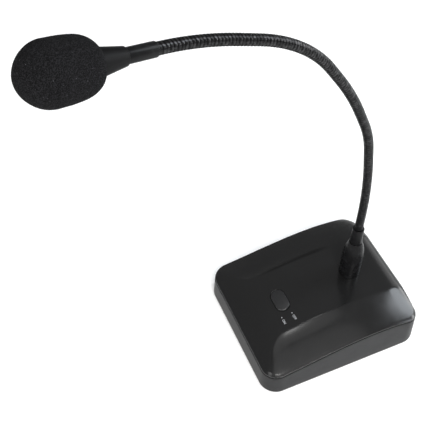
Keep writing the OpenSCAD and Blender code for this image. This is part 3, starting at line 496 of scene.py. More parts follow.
def loft(bm, rows, closed=False):
    """Adds a skin over rows of points that each run once round, with its two ends filled."""
    columns = len(rows[0])
    rows = rows + [rows[0]] if closed else rows
    before = set(bm.verts)
    bmesh.ops.create_grid(bm, x_segments=columns, y_segments=len(rows) - 1, size=1.0)
    new = [v for v in bm.verts if v not in before]
    for index, vert in enumerate(new):
        row, column = divmod(index, columns + 1)
        vert.co = rows[row][column % columns]
    bmesh.ops.remove_doubles(bm, verts=new, dist=MERGE)
    edges = [e for v in bm.verts if v not in before for e in v.link_edges if e.is_boundary]
    if edges:
        bmesh.ops.holes_fill(bm, edges=list(set(edges)), sides=0)


def filleted(corners, steps=5):
    """Profile points of an outline whose corners are (radius, height), with a fillet where one follows."""
    points = []
    for i, (r, z, *fillet) in enumerate(corners):
        here = Vector((r, z))
        if not fillet:
            points.append(here)
            continue
        fillet = fillet[0]
        back = (Vector(corners[i - 1][:2]) - here).normalized()
        on = (Vector(corners[(i + 1) % len(corners)][:2]) - here).normalized()
        half = back.angle(on) / 2
        start, end = here + back * fillet / math.tan(half), here + on * fillet / math.tan(half)
        centre = here + (back + on).normalized() * fillet / math.sin(half)
        for k in range(steps + 1):
            arm = (start - centre).normalized().slerp((end - centre).normalized(), k / steps)
            points.append(centre + arm * fillet)
    return points


def lathe(bm, corners, place, steps=64):
    """Adds a turned piece: a closed outline of corners as filleted takes them, spun and then placed."""
    outline = filleted(corners)
    verts = [bm.verts.new((p.x, 0, p.y)) for p in outline]
    edges = [bm.edges.new((a, b)) for a, b in zip(verts, verts[1:] + verts[:1])]
    before = set(bm.verts) - set(verts)
    bmesh.ops.spin(bm, geom=verts + edges, cent=(0, 0, 0), axis=(0, 0, 1), angle=TURN, steps=steps,
                   use_merge=True, use_duplicate=False)
    new = [v for v in bm.verts if v not in before]
    bmesh.ops.transform(bm, matrix=place, verts=new)


def upright(x, y):
    """Place of a turned piece whose axis stands upright."""
    return Matrix.Translation((x, y, 0))


def carve(piece, cutter):
    """Cuts one closed mesh out of another, and removes the cutter."""
    cut = piece.modifiers.new("cut", "BOOLEAN")
    cut.operation = "DIFFERENCE"
    cut.solver = "EXACT"
    cut.object = cutter
    shown = bpy.context.evaluated_depsgraph_get()
    mesh = bpy.data.meshes.new_from_object(piece.evaluated_get(shown))
    piece.modifiers.clear()
    piece.data = mesh
    bpy.data.objects.remove(cutter)
    mesh.shade_smooth()
    mesh.set_sharp_from_angle(angle=math.radians(SHARP))


def mark(piece, name, share_at):
    """Stores a share from 0 to 1 for each point of a piece, for its finish to read."""
    shares = piece.data.attributes.new(name, "FLOAT", "POINT").data
    for vert in piece.data.vertices:
        shares[vert.index].value = unit_share(share_at(vert.co))


def settle(piece, body, slot, finish, *nodes):
    """Gives a piece its finish, its body and the nodes that it stands for."""
    piece.data.materials.clear()
    piece.data.materials.append(finish_named(finish))
    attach(piece, body)
    if nodes:
        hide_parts(*nodes)


# Materials

class Value:
    """A socket of a node tree, whose arithmetic adds Math nodes."""

    def __init__(self, nodes, socket):
        self.nodes = nodes
        self.socket = socket

    def math(self, operation, first, second):
        return self.nodes.add("ShaderNodeMath", {"operation": operation}, {0: first, 1: second})

    def __add__(self, other):
        return self.math("ADD", self, other)

    def __sub__(self, other):
        return self.math("SUBTRACT", self, other)

    def __rsub__(self, other):
        return self.math("SUBTRACT", other, self)

    def __mul__(self, other):
        return self.math("MULTIPLY", self, other)

    __radd__ = __add__
    __rmul__ = __mul__

    def clamp(self, low, high):
        """This value, spread from low..high to 0..1 and kept inside."""
        settings = {"interpolation_type": "SMOOTHSTEP"}
        return self.nodes.add("ShaderNodeMapRange", settings, {0: self, 1: low, 2: high})


class Nodes:
    """A node tree, and the one method that adds nodes to it."""

    def __init__(self, tree):
        self.tree = tree

    def link(self, value, socket):
        """Links a socket to a value of the tree, or sets it to a number or a colour."""
        if isinstance(value, Value):
            self.tree.links.new(value.socket, socket)
        elif hasattr(value, "__len__") and socket.type == "RGBA":
            socket.default_value = (*value[:3], 1.0)
        else:
            socket.default_value = value

    def add(self, kind, settings, inputs, output=0):
        """Adds a node: its settings first, then the values or links of its sockets."""
        node = self.tree.nodes.new(kind)
        for name, value in settings.items():
            setattr(node, name, value)
        for key, value in inputs.items():
            self.link(value, node.inputs[key])
        return Value(self, node.outputs[output])


class Finish(Nodes):
    """One material: its shader, and the patterns that feed it."""

    def __init__(self, name, **shader):
        self.material = bpy.data.materials.new(name)
        self.material.use_nodes = True
        super().__init__(self.material.node_tree)
        self.shader = self.tree.nodes["Principled BSDF"]
        self.place = self.add("ShaderNodeTexCoord", {}, {}, "Object")
        self.set(**shader)

    def set(self, **values):
        """Sets or links sockets of the shader, with _ for a space in their names."""
        for name, value in values.items():
            self.link(value, self.shader.inputs[name.replace("_", " ")])

    def noise(self, width, detail=2.0, roughness=0.5, stretch=(1, 1, 1)):
        """Cloudy pattern whose features are about this wide, in metres."""
        place = self.add("ShaderNodeMapping", {}, {"Vector": self.place, "Scale": stretch})
        return self.add("ShaderNodeTexNoise", {}, {"Vector": place, "Scale": 1 / width, "Detail": detail,
                                                   "Roughness": roughness})

    def cells(self, width):
        """Distance to the middle of cells about this wide, in metres."""
        return self.add("ShaderNodeTexVoronoi", {"feature": "F1"},
                        {"Vector": self.place, "Scale": 1 / width}, "Distance")

    def marked(self, name):
        """Share that the piece stores for its points under this name."""
        return self.add("ShaderNodeAttribute", {"attribute_name": name}, {}, "Fac")

    def blend(self, factor, first, second):
        """Colour between two colours."""
        return self.add("ShaderNodeMix", {"data_type": "RGBA"}, {0: factor, 6: first, 7: second}, 2)

    def bump(self, height, depth, strength=1.0):
        """Normal of a surface whose height varies by this depth, in metres."""
        return self.add("ShaderNodeBump", {}, {"Height": height, "Distance": depth, "Strength": strength})


def shade(rgb, factor):
    """A colour made lighter or darker."""
    return tuple(min(1.0, c * factor) for c in rgb)


def moulded_plastic(name, rgb, roughness, grain, depth, shine=0.5):
    """Moulded plastic: fine spark texture, faint flow clouds, a little dust and handling sheen, and painted
    shade where a piece marks a crease.
    """
    finish = Finish(name, IOR=1.49, Specular_IOR_Level=shine)
    clouds = finish.noise(45 * MM, 3)
    spark = finish.noise(grain, 4, 0.65)
    dust = finish.noise(0.5 * MM, 1).clamp(0.70, 0.80)
    handled = finish.noise(18 * MM, 4, 0.6).clamp(0.42, 0.75)
    body = finish.blend(clouds, shade(rgb, 0.86), shade(rgb, 1.14))
    dusty = finish.blend(dust * 0.22, body, shade(rgb, 3.0))
    # Painted shade: points that a piece marks as crease are darkened to a fifth of the colour.
    finish.set(Base_Color=finish.blend(finish.marked("crease"), dusty, shade(rgb, 0.2)),
               Roughness=spark * 0.12 + handled * 0.05 + (roughness - 0.08),
               Normal=finish.bump(spark, depth))
    return finish.material


def polished_black(name, rgb, roughness, shine):
    """Polished black: faint turning marks round it and fine rubbed patches."""
    finish = Finish(name, IOR=1.5, Specular_IOR_Level=shine, Coat_Roughness=0.2)
    rubbed = finish.noise(7 * MM, 4, 0.6).clamp(0.45, 0.72)
    turned = finish.noise(0.45 * MM, 3, 0.6, (0.04, 0.04, 1))
    finish.set(Base_Color=finish.blend(rubbed, shade(rgb, 0.9), shade(rgb, 1.6)),
               Roughness=rubbed * 0.05 + turned * 0.05 + (roughness - 0.04),
               Coat_Weight=shine - rubbed * 0.06,
               Normal=finish.bump(turned, 0.0015 * MM))
    return finish.material


def plated_steel(name, rgb):
    """Black plated winding: bright rubbed crests, and dull valleys darkened with painted shade."""
    finish = Finish(name, IOR=1.6, Specular_IOR_Level=0.02, Coat_Roughness=0.12)
    valley = finish.marked("valley").clamp(0.0, 0.4)
    speck = finish.noise(2.4 * MM, 3, 0.5).clamp(0.44, 0.62)
    worn = (1 - valley) * speck
    grain = finish.noise(0.35 * MM, 3, 0.6)
    crest = finish.blend(worn, rgb, shade(rgb, 2.0))
    # Painted shade: the valleys between the ribs are darkened; the lighter crests are rubbed wear.
    finish.set(Base_Color=finish.blend(valley, crest, shade(rgb, 0.3)),
               Metallic=worn * 0.15,
               Roughness=0.45 - worn * 0.08 + valley * 0.1 + grain * 0.08,
               Coat_Weight=(1 - valley) * 0.14 + speck * 0.3 + 0.08,
               Normal=finish.bump(grain, 0.01 * MM))
    return finish.material


def open_foam(name, rgb, cell):
    """Open cell foam: pores darkened with painted shade between lighter struts, with stray lint."""
    finish = Finish(name, IOR=1.35, Specular_IOR_Level=0.12)
    pores = finish.cells(cell)
    fine = finish.noise(0.42 * MM, 3, 0.7)
    struts = (pores + fine * 0.55).clamp(0.58, 1.05)
    lint = finish.noise(0.9 * MM, 1).clamp(0.75, 0.79)
    # Painted shade: the pores are darker than the struts.
    tone = finish.blend(struts, shade(rgb, 0.5), shade(rgb, 3.1))
    finish.set(Base_Color=finish.blend(lint * 0.8, tone, shade(rgb, 26)),
               Roughness=struts * 0.1 + 0.85,
               Normal=finish.bump(pores + fine, 0.35 * MM, 0.9))
    return finish.material


def soft_rubber(name, rgb):
    """Matt rubber: pebbled skin with a faint bloom."""
    finish = Finish(name, IOR=1.5)
    bloom = finish.noise(9 * MM, 4, 0.6)
    pebble = finish.cells(0.7 * MM)
    finish.set(Base_Color=finish.blend(bloom, shade(rgb, 0.7), shade(rgb, 1.8)),
               Roughness=bloom * 0.15 + 0.68,
               Normal=finish.bump(pebble, 0.05 * MM))
    return finish.material


def bare_metal(name, rgb, roughness):
    """Plated or turned metal: fine brushing, and stains that dull it."""
    finish = Finish(name, Metallic=1.0)
    brushed = finish.noise(0.5 * MM, 4, 0.6, (1, 0.06, 1))
    stains = finish.noise(6 * MM, 4, 0.6).clamp(0.45, 0.75)
    finish.set(Base_Color=finish.blend(stains, rgb, shade(rgb, 0.72)),
               Roughness=brushed * 0.16 + stains * 0.12 + (roughness - 0.1),
               Normal=finish.bump(brushed, 0.01 * MM))
    return finish.material


def board_laminate(name):
    """Green board: solder mask over copper tracks, with tinned pads."""
    finish = Finish(name, IOR=1.5)
    black = (0, 0, 0)
    tracks = finish.add("ShaderNodeTexBrick", {"offset": 0.5}, {
        "Vector": finish.place, "Scale": 1.0, "Brick Width": 9 * MM, "Row Height": 2.6 * MM,
        "Mortar Size": 0.35 * MM, "Mortar Smooth": 0.2, "Color1": black, "Color2": black,
        "Mortar": (1, 1, 1)}, "Fac")
    pads = 1 - finish.cells(5.5 * MM).clamp(0.10, 0.16)
    mask = finish.blend(tracks, (0.006, 0.07, 0.026), (0.02, 0.14, 0.05))
    finish.set(Base_Color=finish.blend(pads, mask, (0.6, 0.6, 0.58)), Metallic=pads * 0.9,
               Roughness=0.34 + finish.noise(2 * MM) * 0.1, Normal=finish.bump(tracks, 0.03 * MM))
    return finish.material


def printed_ink(name, rgb):
    """Pad printed ink, a little thin in places."""
    finish = Finish(name, IOR=1.45)
    thin = finish.noise(0.4 * MM, 3, 0.6).clamp(0.35, 0.7)
    finish.set(Base_Color=finish.blend(thin, shade(rgb, 0.7), rgb), Roughness=0.5 + thin * 0.1,
               Normal=finish.bump(thin, 0.005 * MM))
    return finish.material


def pale_floor(name, rgb):
    """Plain pale floor, almost without texture."""
    finish = Finish(name, Specular_IOR_Level=0.2, Emission_Color=(1, 1, 1), Emission_Strength=0.18)
    clouds = finish.noise(0.4, 2)
    finish.set(Base_Color=finish.blend(clouds, shade(rgb, 0.985), rgb), Roughness=clouds * 0.1 + 0.75)
    return finish.material


_made = {}


def finish_named(name):
    """The material of that name, made at its first use."""
    tone = bpy.context.scene.mic_colours
    cell = bpy.context.scene.mic_head.cell
    makers = {
        # Colour, roughness, width and depth of the grain, and the shine where it isn't the usual one
        "case_plastic": (moulded_plastic, tone.case, 0.46, 0.32 * MM, 0.030 * MM, 0.2),
        "cover_plastic": (moulded_plastic, tone.cover, 0.20, 0.28 * MM, 0.008 * MM),
        "button_plastic": (moulded_plastic, tone.button, 0.40, 0.40 * MM, 0.006 * MM),
        "housing_plastic": (moulded_plastic, tone.housing, 0.50, 0.30 * MM, 0.012 * MM, 0.08),
        "socket_plastic": (moulded_plastic, tone.housing, 0.42, 0.30 * MM, 0.008 * MM),
        "ivory_plastic": (moulded_plastic, (0.62, 0.60, 0.52), 0.42, 0.4 * MM, 0.005 * MM),
        # Colour, roughness and shine
        "gloss_black": (polished_black, tone.gloss, 0.28, 0.06),
        "sleeve_black": (polished_black, tone.gloss, 0.34, 0.07),
        # Colour and roughness
        "zinc_steel": (bare_metal, (0.55, 0.56, 0.58), 0.34),
        "brass": (bare_metal, (0.62, 0.47, 0.22), 0.30),
        "satin_aluminium": (bare_metal, (0.68, 0.69, 0.70), 0.36),
        # Colour and the width of the pores, a little finer than the modelled cells
        "foam": (open_foam, tone.foam, cell * 0.8),
        "neck_steel": (plated_steel, tone.neck),
        "rubber": (soft_rubber, tone.rubber),
        "print_ink": (printed_ink, tone.ink),
        "pale_floor": (pale_floor, tone.floor),
        "board_laminate": (board_laminate,),
    }
    if name not in _made:
        make, *values = makers[name]
        _made[name] = make(name, *values)
    return _made[name]


# Pieces

class MIC_OT_bottom_case(bpy.types.Operator):
    """Model the lower case with its leaning walls, floor, pad recess and socket seat"""

    bl_idname = "mic.bottom_case"
    bl_label = "Bottom case"

    def execute(self, context):
        base = context.scene.mic_base
        chamfer = 0.3 * MM
        rim_r = 0.2 * MM
        recess_ring = 7 * MM
        floor_ring = 30 * MM
        floor_top = base.desk_gap + base.floor_t

        def recess_row(grow, z):
            grow += base.pad_play
            return flat_row(base.pad_half_w + grow, base.pad_half_d + grow, base.pad_r + grow, z, CASE_PLACES)

        rows = [recess_row(-recess_ring, base.pad_t), recess_row(0, base.pad_t),
                recess_row(0, base.desk_gap + chamfer), recess_row(chamfer, base.desk_gap)]
        rows += [base.wall_row(inset, base.desk_gap + rise) for inset, rise in quarter_arc(base.foot_r, 6)]
        rows += [base.wall_row(0, base.desk_gap + base.foot_r, part) for part in (0.3, 0.6, 0.9)]
        rows += [base.rim_row(inset, -drop) for drop, inset in quarter_arc(rim_r, 3)]
        rows += [base.rim_row(2 * rim_r, -0.5 * rim_r), base.rim_row(base.wall / 2, -base.rim_gap),
                 base.rim_row(base.wall, -base.rim_gap), base.wall_row(base.wall, floor_top, 0.5),
                 base.wall_row(base.wall, floor_top), base.wall_row(floor_ring, floor_top)]
        bm = bmesh.new()
        loft(bm, rows)
        piece = finish_mesh(bm, "bottom_case_shell")

        cut = bmesh.new()
        well = base.screw_r + base.screw_play
        for x, y, turn in base.screw_places():
            lathe(cut, [(0, 0), (well + chamfer, 0), (well + chamfer, base.desk_gap),
                        (well, base.desk_gap + chamfer), (well, base.screw_seat), (0, base.screw_seat)],
                  upright(x, y), steps=40)
        wall_y = base.rear_wall_y()
        inside = wall_y - 6 * MM
        seat = wall_y - base.nut_seat
        outside = wall_y + 3 * MM
        seat_r = base.nut_w / 2 / math.cos(math.pi / 6) + base.nut_room
        hole = base.bush_r + FIT
        lathe(cut, [(0, inside), (hole, inside), (hole, seat), (seat_r, seat), (seat_r, outside),
                    (0, outside)], base.socket_axis())
        carve(piece, finish_mesh(cut, "case_cutter"))
        settle(piece, "base", "case_plastic", "case_plastic", "bottom_case")
        return {"FINISHED"}


class MIC_OT_top_cover(bpy.types.Operator):
    """Model the moulded cover with its raised panel, its button hole and the holder's seat"""

    bl_idname = "mic.top_cover"
    bl_label = "Top cover"

    def execute(self, context):
        base = context.scene.mic_base
        button = context.scene.mic_button
        neck = context.scene.mic_neck
        rings = 110
        first_in = base.width / 2 - 3.5 * MM
        last_in = 3 * MM
        lip_out = base.wall + 0.25 * MM
        lip_in = lip_out + 1.5 * MM
        under_rings = (4.3, 9, 15, 22, 30, 40, 56)
        rows = [base.surface_row(mix(first_in, last_in, i / rings)) for i in range(rings + 1)]
        for inset, drop in quarter_arc(1, 5):
            rows.append(base.rim_row(base.reveal + base.edge_turn * inset,
                                     base.rim_gap + base.edge_h * (1 - drop / 2)))
        rows += [base.rim_row(base.reveal, base.rim_gap), base.rim_row(lip_out, base.rim_gap),
                 base.rim_row(lip_out, -base.lip_h), base.rim_row(lip_in, -base.lip_h)]
        rows += [base.surface_row(inset * MM, base.cover_t) for inset in under_rings]
        bm = bmesh.new()
        loft(bm, rows)
        piece = finish_mesh(bm, "top_cover_shell")

        cut = bmesh.new()
        above = 1 * MM
        lead_in = 0.02 * MM
        below = 8 * MM
        rim = [(button.mouth_r + above, above), (button.mouth_r, lead_in)]
        rim += [(grow, -drop) for grow, drop in quarter_arc(button.mouth_r, 6)[1:]]
        rim.append((0, -below))
        middle = Vector((button.x, button.y, base.crown_z(button.y)))
        tilt = Matrix.Translation(middle) @ Matrix.Rotation(base.panel_slope(button.y), 4, "X")
        hole = []
        for grow, z in rim:
            half_l = button.length / 2 + button.gap + grow
            half_w = button.width / 2 + button.gap + grow
            hole.append([tilt @ p for p in flat_row(half_l, half_w, half_w, z, PILL_PLACES)])
        loft(cut, hole)
        seat = neck.heights(base)[0]
        seat_r = neck.holder_r + 0.12 * MM
        seat_top = seat + 3 * MM
        lathe(cut, [(0, seat), (seat_r, seat), (seat_r, seat_top), (0, seat_top)], upright(0, neck.y),
              steps=96)
        carve(piece, finish_mesh(cut, "cover_cutter"))
        # Painted shade: the crease left of the panel and the low edge of the cover are darkened through this
        # share.
        mark(piece, "crease", lambda p: self.crease(base, p))
        settle(piece, "base", "case_plastic", "cover_plastic", "top_cover")
        return {"FINISHED"}

    def crease(self, base, p):
        """Share of painted shade at a point: a dark line painted in the crease left of the panel, and painted
        shade low on the cover's edge over the parting gap.
        """
        crease_x = -base.panel_half - 0.4 * MM
        side_fade = (0.6 * MM, 3.4 * MM)
        front_rise = (-48 * MM, -26 * MM)
        rear_fade = (16 * MM, 38 * MM)
        edge_fade = (0.6, 0.9)
        across = 1 - soft_step(*side_fade, abs(p.x - crease_x))
        along = soft_step(*front_rise, p.y) * (1 - soft_step(*rear_fade, p.y))
        edge = (p.z - base.rim_z(p.y) - base.rim_gap) / base.edge_h
        return max(across * along, 1 - soft_step(*edge_fade, edge))


class MIC_OT_button(bpy.types.Operator):
    """Model the push button with its crown, rounded edge and stop flange"""

    bl_idname = "mic.button"
    bl_label = "Push button"

    def execute(self, context):
        base = context.scene.mic_base
        button = context.scene.mic_button
        top = base.crown_z(button.y) + button.rise
        slope = base.panel_slope(button.y)
        centre = Vector((button.x, button.y, top))
        centre += button.crown_r * Vector((0, math.sin(slope), -math.cos(slope)))
        foot = top - button.skirt - 2.4 * MM
        flange_low = foot + 1.6 * MM
        flange_top = flange_low + button.flange_t
        least_half = 0.05 * MM
        least_side = 0.01 * MM
        crown_rings = (6.6, 5.2, 3.8, 2.6, 1.8)
        foot_ring = 5 * MM

        def outline(inset):
            half_w = max(button.width / 2 - inset, least_half)
            half_l = max(button.length / 2 - inset, half_w + least_side)
            middle = Vector((button.x, button.y))
            return [ring_point(half_l, half_w, half_w, place) + middle for place in PILL_PLACES]

        def crown_row(inset, drop):
            row = []
            for p in outline(inset):
                reach = (p - centre.xy).length
                z = centre.z + math.sqrt(button.crown_r ** 2 - reach ** 2) - drop
                row.append(Vector((p.x, p.y, z)))
            return row

        def level_row(inset, z):
            return [Vector((p.x, p.y, z)) for p in outline(inset)]

        rows = [crown_row(inset * MM, 0) for inset in crown_rings]
        rows += [crown_row(inset, drop) for inset, drop in quarter_arc(button.edge_r, 7)]
        rows += [level_row(0, flange_top + 0.6 * MM), level_row(0, flange_top),
                 level_row(-button.flange, flange_top), level_row(-button.flange, flange_low),
                 level_row(0, flange_low), level_row(0, foot), level_row(foot_ring, foot)]
        bm = bmesh.new()
        loft(bm, rows)
        piece = finish_mesh(bm, "push_button")
        settle(piece, "button", "button_plastic", "button_plastic", "button_cap")
        return {"FINISHED"}


class MIC_OT_printed_marks(bpy.types.Operator):
    """Print the two dots and the words ON and OFF beside the button"""

    bl_idname = "mic.printed_marks"
    bl_label = "Printed marks"

    def execute(self, context):
        base = context.scene.mic_base
        button = context.scene.mic_button
        bolder = 0.06 * MM
        bm = bmesh.new()
        for word, y in (("OFF", button.mark_rear_y), ("ON", button.mark_front_y)):
            bmesh.ops.create_circle(bm, cap_ends=True, radius=button.mark_dot_r, segments=24,
                                    matrix=Matrix.Translation((button.mark_x, y, 0)))
            text = bpy.data.curves.new(word, "FONT")
            text.body = word
            text.size = button.word_h
            text.align_y = "CENTER"
            text.offset = bolder
            letters = bpy.data.objects.new(word, text)
            context.scene.collection.objects.link(letters)
            mesh = bpy.data.meshes.new_from_object(letters.evaluated_get(context.evaluated_depsgraph_get()))
            mesh.transform(Matrix.Translation((button.word_x, y, 0)))
            bm.from_mesh(mesh)
            bpy.data.objects.remove(letters)
        bmesh.ops.remove_doubles(bm, verts=bm.verts, dist=TINY)
        made = bmesh.ops.extrude_face_region(bm, geom=list(bm.faces))
        raised = {item for item in made["geom"] if isinstance(item, bmesh.types.BMVert)}
        for vert in bm.verts:
            lift = button.ink_t if vert in raised else -button.ink_t
            vert.co.z = base.surface_z(vert.co.x, vert.co.y) + lift
        piece = finish_mesh(bm, "button_marks", sharp=30)
        settle(piece, "base", "case_plastic", "print_ink")
        return {"FINISHED"}


class MIC_OT_neck_holder(bpy.types.Operator):
    """Turn the neck's holder with its barrel and shoulder, and the collar above it"""

    bl_idname = "mic.neck_holder"
    bl_label = "Neck holder"

    def execute(self, context):
        base = context.scene.mic_base
        neck = context.scene.mic_neck
        seat, shoulder, collar, lip, floor = neck.heights(base)
        place = upright(0, neck.y)
        spigot = collar - neck.spigot_l
        tail = seat - neck.tail_l
        hole = neck.spigot_r + FIT
        steps = 24
        taper = 0.75
        curve = []
        for k in range(steps):
            turn = QUARTER * k / steps
            rise = mix(math.sin(turn), k / steps, taper)
            curve.append((mix(neck.shoulder_r, neck.holder_r, math.cos(turn)),
                          shoulder + neck.shoulder_h * rise))
        bm = bmesh.new()
        lathe(bm, [(neck.lead_bore_r, tail), (neck.tail_r, tail, 0.5 * MM), (neck.tail_r, seat),
                   (neck.holder_r, seat, 0.35 * MM), (neck.holder_r, seat + 2 * MM), *curve,
                   (neck.shoulder_r, collar, 0.25 * MM), (hole, collar), (hole, spigot),
                   (neck.lead_bore_r, spigot)], place, steps=96)
        piece = finish_mesh(bm, "holder_barrel", sharp=50)
        settle(piece, "base", "gloss_plastic", "gloss_black", "neck_holder")

        bore = neck.diameter / 2 + FIT
        groove_r = neck.collar_r - 0.3 * MM
        groove_top = collar + 0.5 * MM
        bm = bmesh.new()
        lathe(bm, [(neck.wire_r, spigot), (neck.spigot_r, spigot), (neck.spigot_r, collar),
                   (groove_r, collar), (groove_r, groove_top), (neck.collar_r, groove_top, 0.2 * MM),
                   (neck.collar_r, collar + 3 * MM, 2 * MM), (neck.collar_lip_r, lip, 0.5 * MM),
                   (bore, lip, 0.2 * MM), (bore, floor), (neck.wire_r, floor)], place, steps=80)
        piece = finish_mesh(bm, "gooseneck_collar", sharp=50)
        settle(piece, "base", "gloss_metal", "sleeve_black", "lower_collar")
        return {"FINISHED"}


class MIC_OT_gooseneck(bpy.types.Operator):
    """Wind the gooseneck as one helix of ribs, in one piece round each joint"""

    bl_idname = "mic.gooseneck"
    bl_label = "Gooseneck"

    def execute(self, context):
        neck = context.scene.mic_neck
        rows_per_rib = 8
        line, ends = neck.centre_line(context.scene.mic_base, neck.rib_pitch / rows_per_rib)
        joints = [joint for joint in frame["joints"] if joint["type"] == "hinge"]
        lengths = neck.lengths()
        cuts = [0.0] + [ends[k][1] + lengths[k + 1] / 2 for k in range(4)] + [ends[5][1]]
        root_reach = 9 * MM
        apart = 3 * MM
        allowed_miss = 0.2 * MM
        reach = [root_reach] + [min(lengths[k], lengths[k + 1]) / 2 - apart for k in range(1, 5)]
        for k, joint in enumerate(joints):
            bend = ends[k][0]
            if (bend - Vector(joint["pos_m"])).length > allowed_miss:
                raise RuntimeError(f"the gooseneck misses {joint['name']}")
            bm = bmesh.new()
            loft(bm, [self.rib_row(neck, point, along, run) for point, along, run in line
                      if cuts[k] - TINY <= run <= cuts[k + 1] + TINY])
            piece = finish_mesh(bm, f"gooseneck_{k + 1}", sharp=80)
            self.mark_valleys(piece, line, neck)
            piece.data.materials.append(finish_named("neck_steel"))
            way = neck.directions()[k + 1] * reach[k]
            bend - way
            bend + way
            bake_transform(piece)
            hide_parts(f"neck_section_{k + 1}", *(["neck_root"] if k == 0 else []))
        return {"FINISHED"}

    def rib_row(self, neck, point, along, run):
        """Ring of points round the centre line, on the helix of the ribs."""
        columns = 24
        side = Vector((math.cos(neck.turn), math.sin(neck.turn), 0))
        across = (side - along * side.dot(along)).normalized()
        over = along.cross(across)
        row = []
        for c in range(columns):
            turn = c / columns
            wave = 2 * ((run / neck.rib_pitch - turn) % 1.0) - 1
            r = neck.diameter / 2 - neck.rib_depth * (1 - math.sqrt(1 - wave * wave))
            row.append(point + r * (math.cos(TURN * turn) * across + math.sin(TURN * turn) * over))
        return row

    def mark_valleys(self, piece, line, neck):
        """Stores how deep each point lies between the ribs, from 0 on a crest to 1 in a valley."""
        middle = kdtree.KDTree(len(line))
        for index, (point, along, run) in enumerate(line):
            middle.insert(point, index)
        middle.balance()
        mark(piece, "valley", lambda p: (neck.diameter / 2 - middle.find(p)[2]) / neck.rib_depth)


def head_place(scene):
    """Frame of the head: its origin at the gooseneck's end and +Z along the head."""
    neck = scene.mic_neck
    end = neck.centre_line(scene.mic_base, neck.rib_pitch)[1][-1][0]
    return (Matrix.Translation(end) @ Matrix.Rotation(neck.head_turn, 4, "Z")
            @ Matrix.Rotation(neck.head_lean, 4, "X"))


class MIC_OT_head(bpy.types.Operator):
    """Turn the head's ferrule and tapered housing"""

    bl_idname = "mic.head"
    bl_label = "Head"

    def execute(self, context):
        head = context.scene.mic_head
        wire_r = context.scene.mic_neck.wire_r
        place = head_place(context.scene)
        edge = head.edge_r
        foot = head.ferrule_l
        spigot = foot + head.spigot_l
        bm = bmesh.new()
        lathe(bm, [(wire_r, 0), (head.ferrule_bore_r, 0),
                   (head.ferrule_bore_r, -head.ferrule_over, 0.15 * MM),
                   (head.ferrule_r, -head.ferrule_over, edge * 0.8), (head.ferrule_r, foot, edge),
                   (head.spigot_r, foot), (head.spigot_r, spigot), (wire_r, spigot)], place, steps=80)
        piece = finish_mesh(bm, "head_ferrule", sharp=50)
        settle(piece, "head", "gloss_metal", "sleeve_black", "upper_ferrule")

        barrel = foot + head.taper_l
        top = barrel + head.barrel_l
        hole = head.spigot_r + FIT
        inner = head.housing_r - head.housing_wall
        bm = bmesh.new()
        lathe(bm, [(hole, foot), (head.foot_r, foot, edge * 0.8), (head.housing_r, barrel, 6 * MM),
                   (head.housing_r, top), (inner, top), (inner, barrel + 5 * MM), (wire_r, spigot + 2 * MM),
                   (wire_r, spigot), (hole, spigot)], place, steps=80)
        piece = finish_mesh(bm, "head_housing", sharp=50)
        settle(piece, "head", "housing_plastic", "housing_plastic", "mic_housing")
        return {"FINISHED"}


class MIC_OT_windscreen(bpy.types.Operator):
    """Model the foam windscreen with its open cells"""

    bl_idname = "mic.windscreen"
    bl_label = "Foam windscreen"

    def execute(self, context):
        head = context.scene.mic_head
        mouth = head.ferrule_l + head.taper_l - head.foam_over
        belly = mouth + head.foam_wide
        hole_r = head.housing_r + head.foam_play
        inner_top = head.ferrule_l + head.taper_l + head.barrel_l + head.grille_l + head.foam_play
        columns = 300
        back_rows = 96
        nose_rows = 100
        lump_w = 9 * MM

        def outline(power, length, turns):
            return [(head.foam_r * math.sin(a) ** (2 / power), belly + length * math.cos(a) ** (2 / power))
                    for a in turns]

        def turned_row(r, z):
            turns = [TURN * c / columns for c in range(columns)]
            return [Vector((r * math.cos(a), r * math.sin(a), z)) for a in turns]

        start = math.asin((hole_r / head.foam_r) ** (head.mouth_power / 2))
        back = outline(head.mouth_power, -head.foam_wide,
                       [mix(start, QUARTER, k / back_rows) for k in range(back_rows)])
        nose = outline(head.nose_power, head.foam_l - head.foam_wide,
                       [QUARTER * (1 - k / nose_rows) for k in range(nose_rows)])
        inside = [(hole_r, mouth + 6 * MM), (hole_r, inner_top), (1 * MM, inner_top)]
        bm = bmesh.new()
        loft(bm, [turned_row(r, z) for r, z in [*reversed(back + nose), *inside]])
        bmesh.ops.recalc_face_normals(bm, faces=bm.faces)
        bm.normal_update()
        skin_r = hole_r + 0.1 * MM
        skin_top = inner_top + 1 * MM
        strut_w = 0.45
        for vert in bm.verts:
            if vert.co.xy.length <= skin_r and vert.co.z <= skin_top:
                continue
            near = noise.voronoi(vert.co / head.cell)[0]
            pore = soft_step(0.0, strut_w, near[1] - near[0])
            lump = noise.noise(vert.co / lump_w)
            vert.co += vert.normal * (head.cell_depth * (pore - 1) + head.lump * lump)
        bmesh.ops.transform(bm, matrix=head_place(context.scene), verts=bm.verts)
        piece = finish_mesh(bm, "foam_windscreen", sharp=180)
        settle(piece, "head", "foam", "foam", "windscreen")
        return {"FINISHED"}


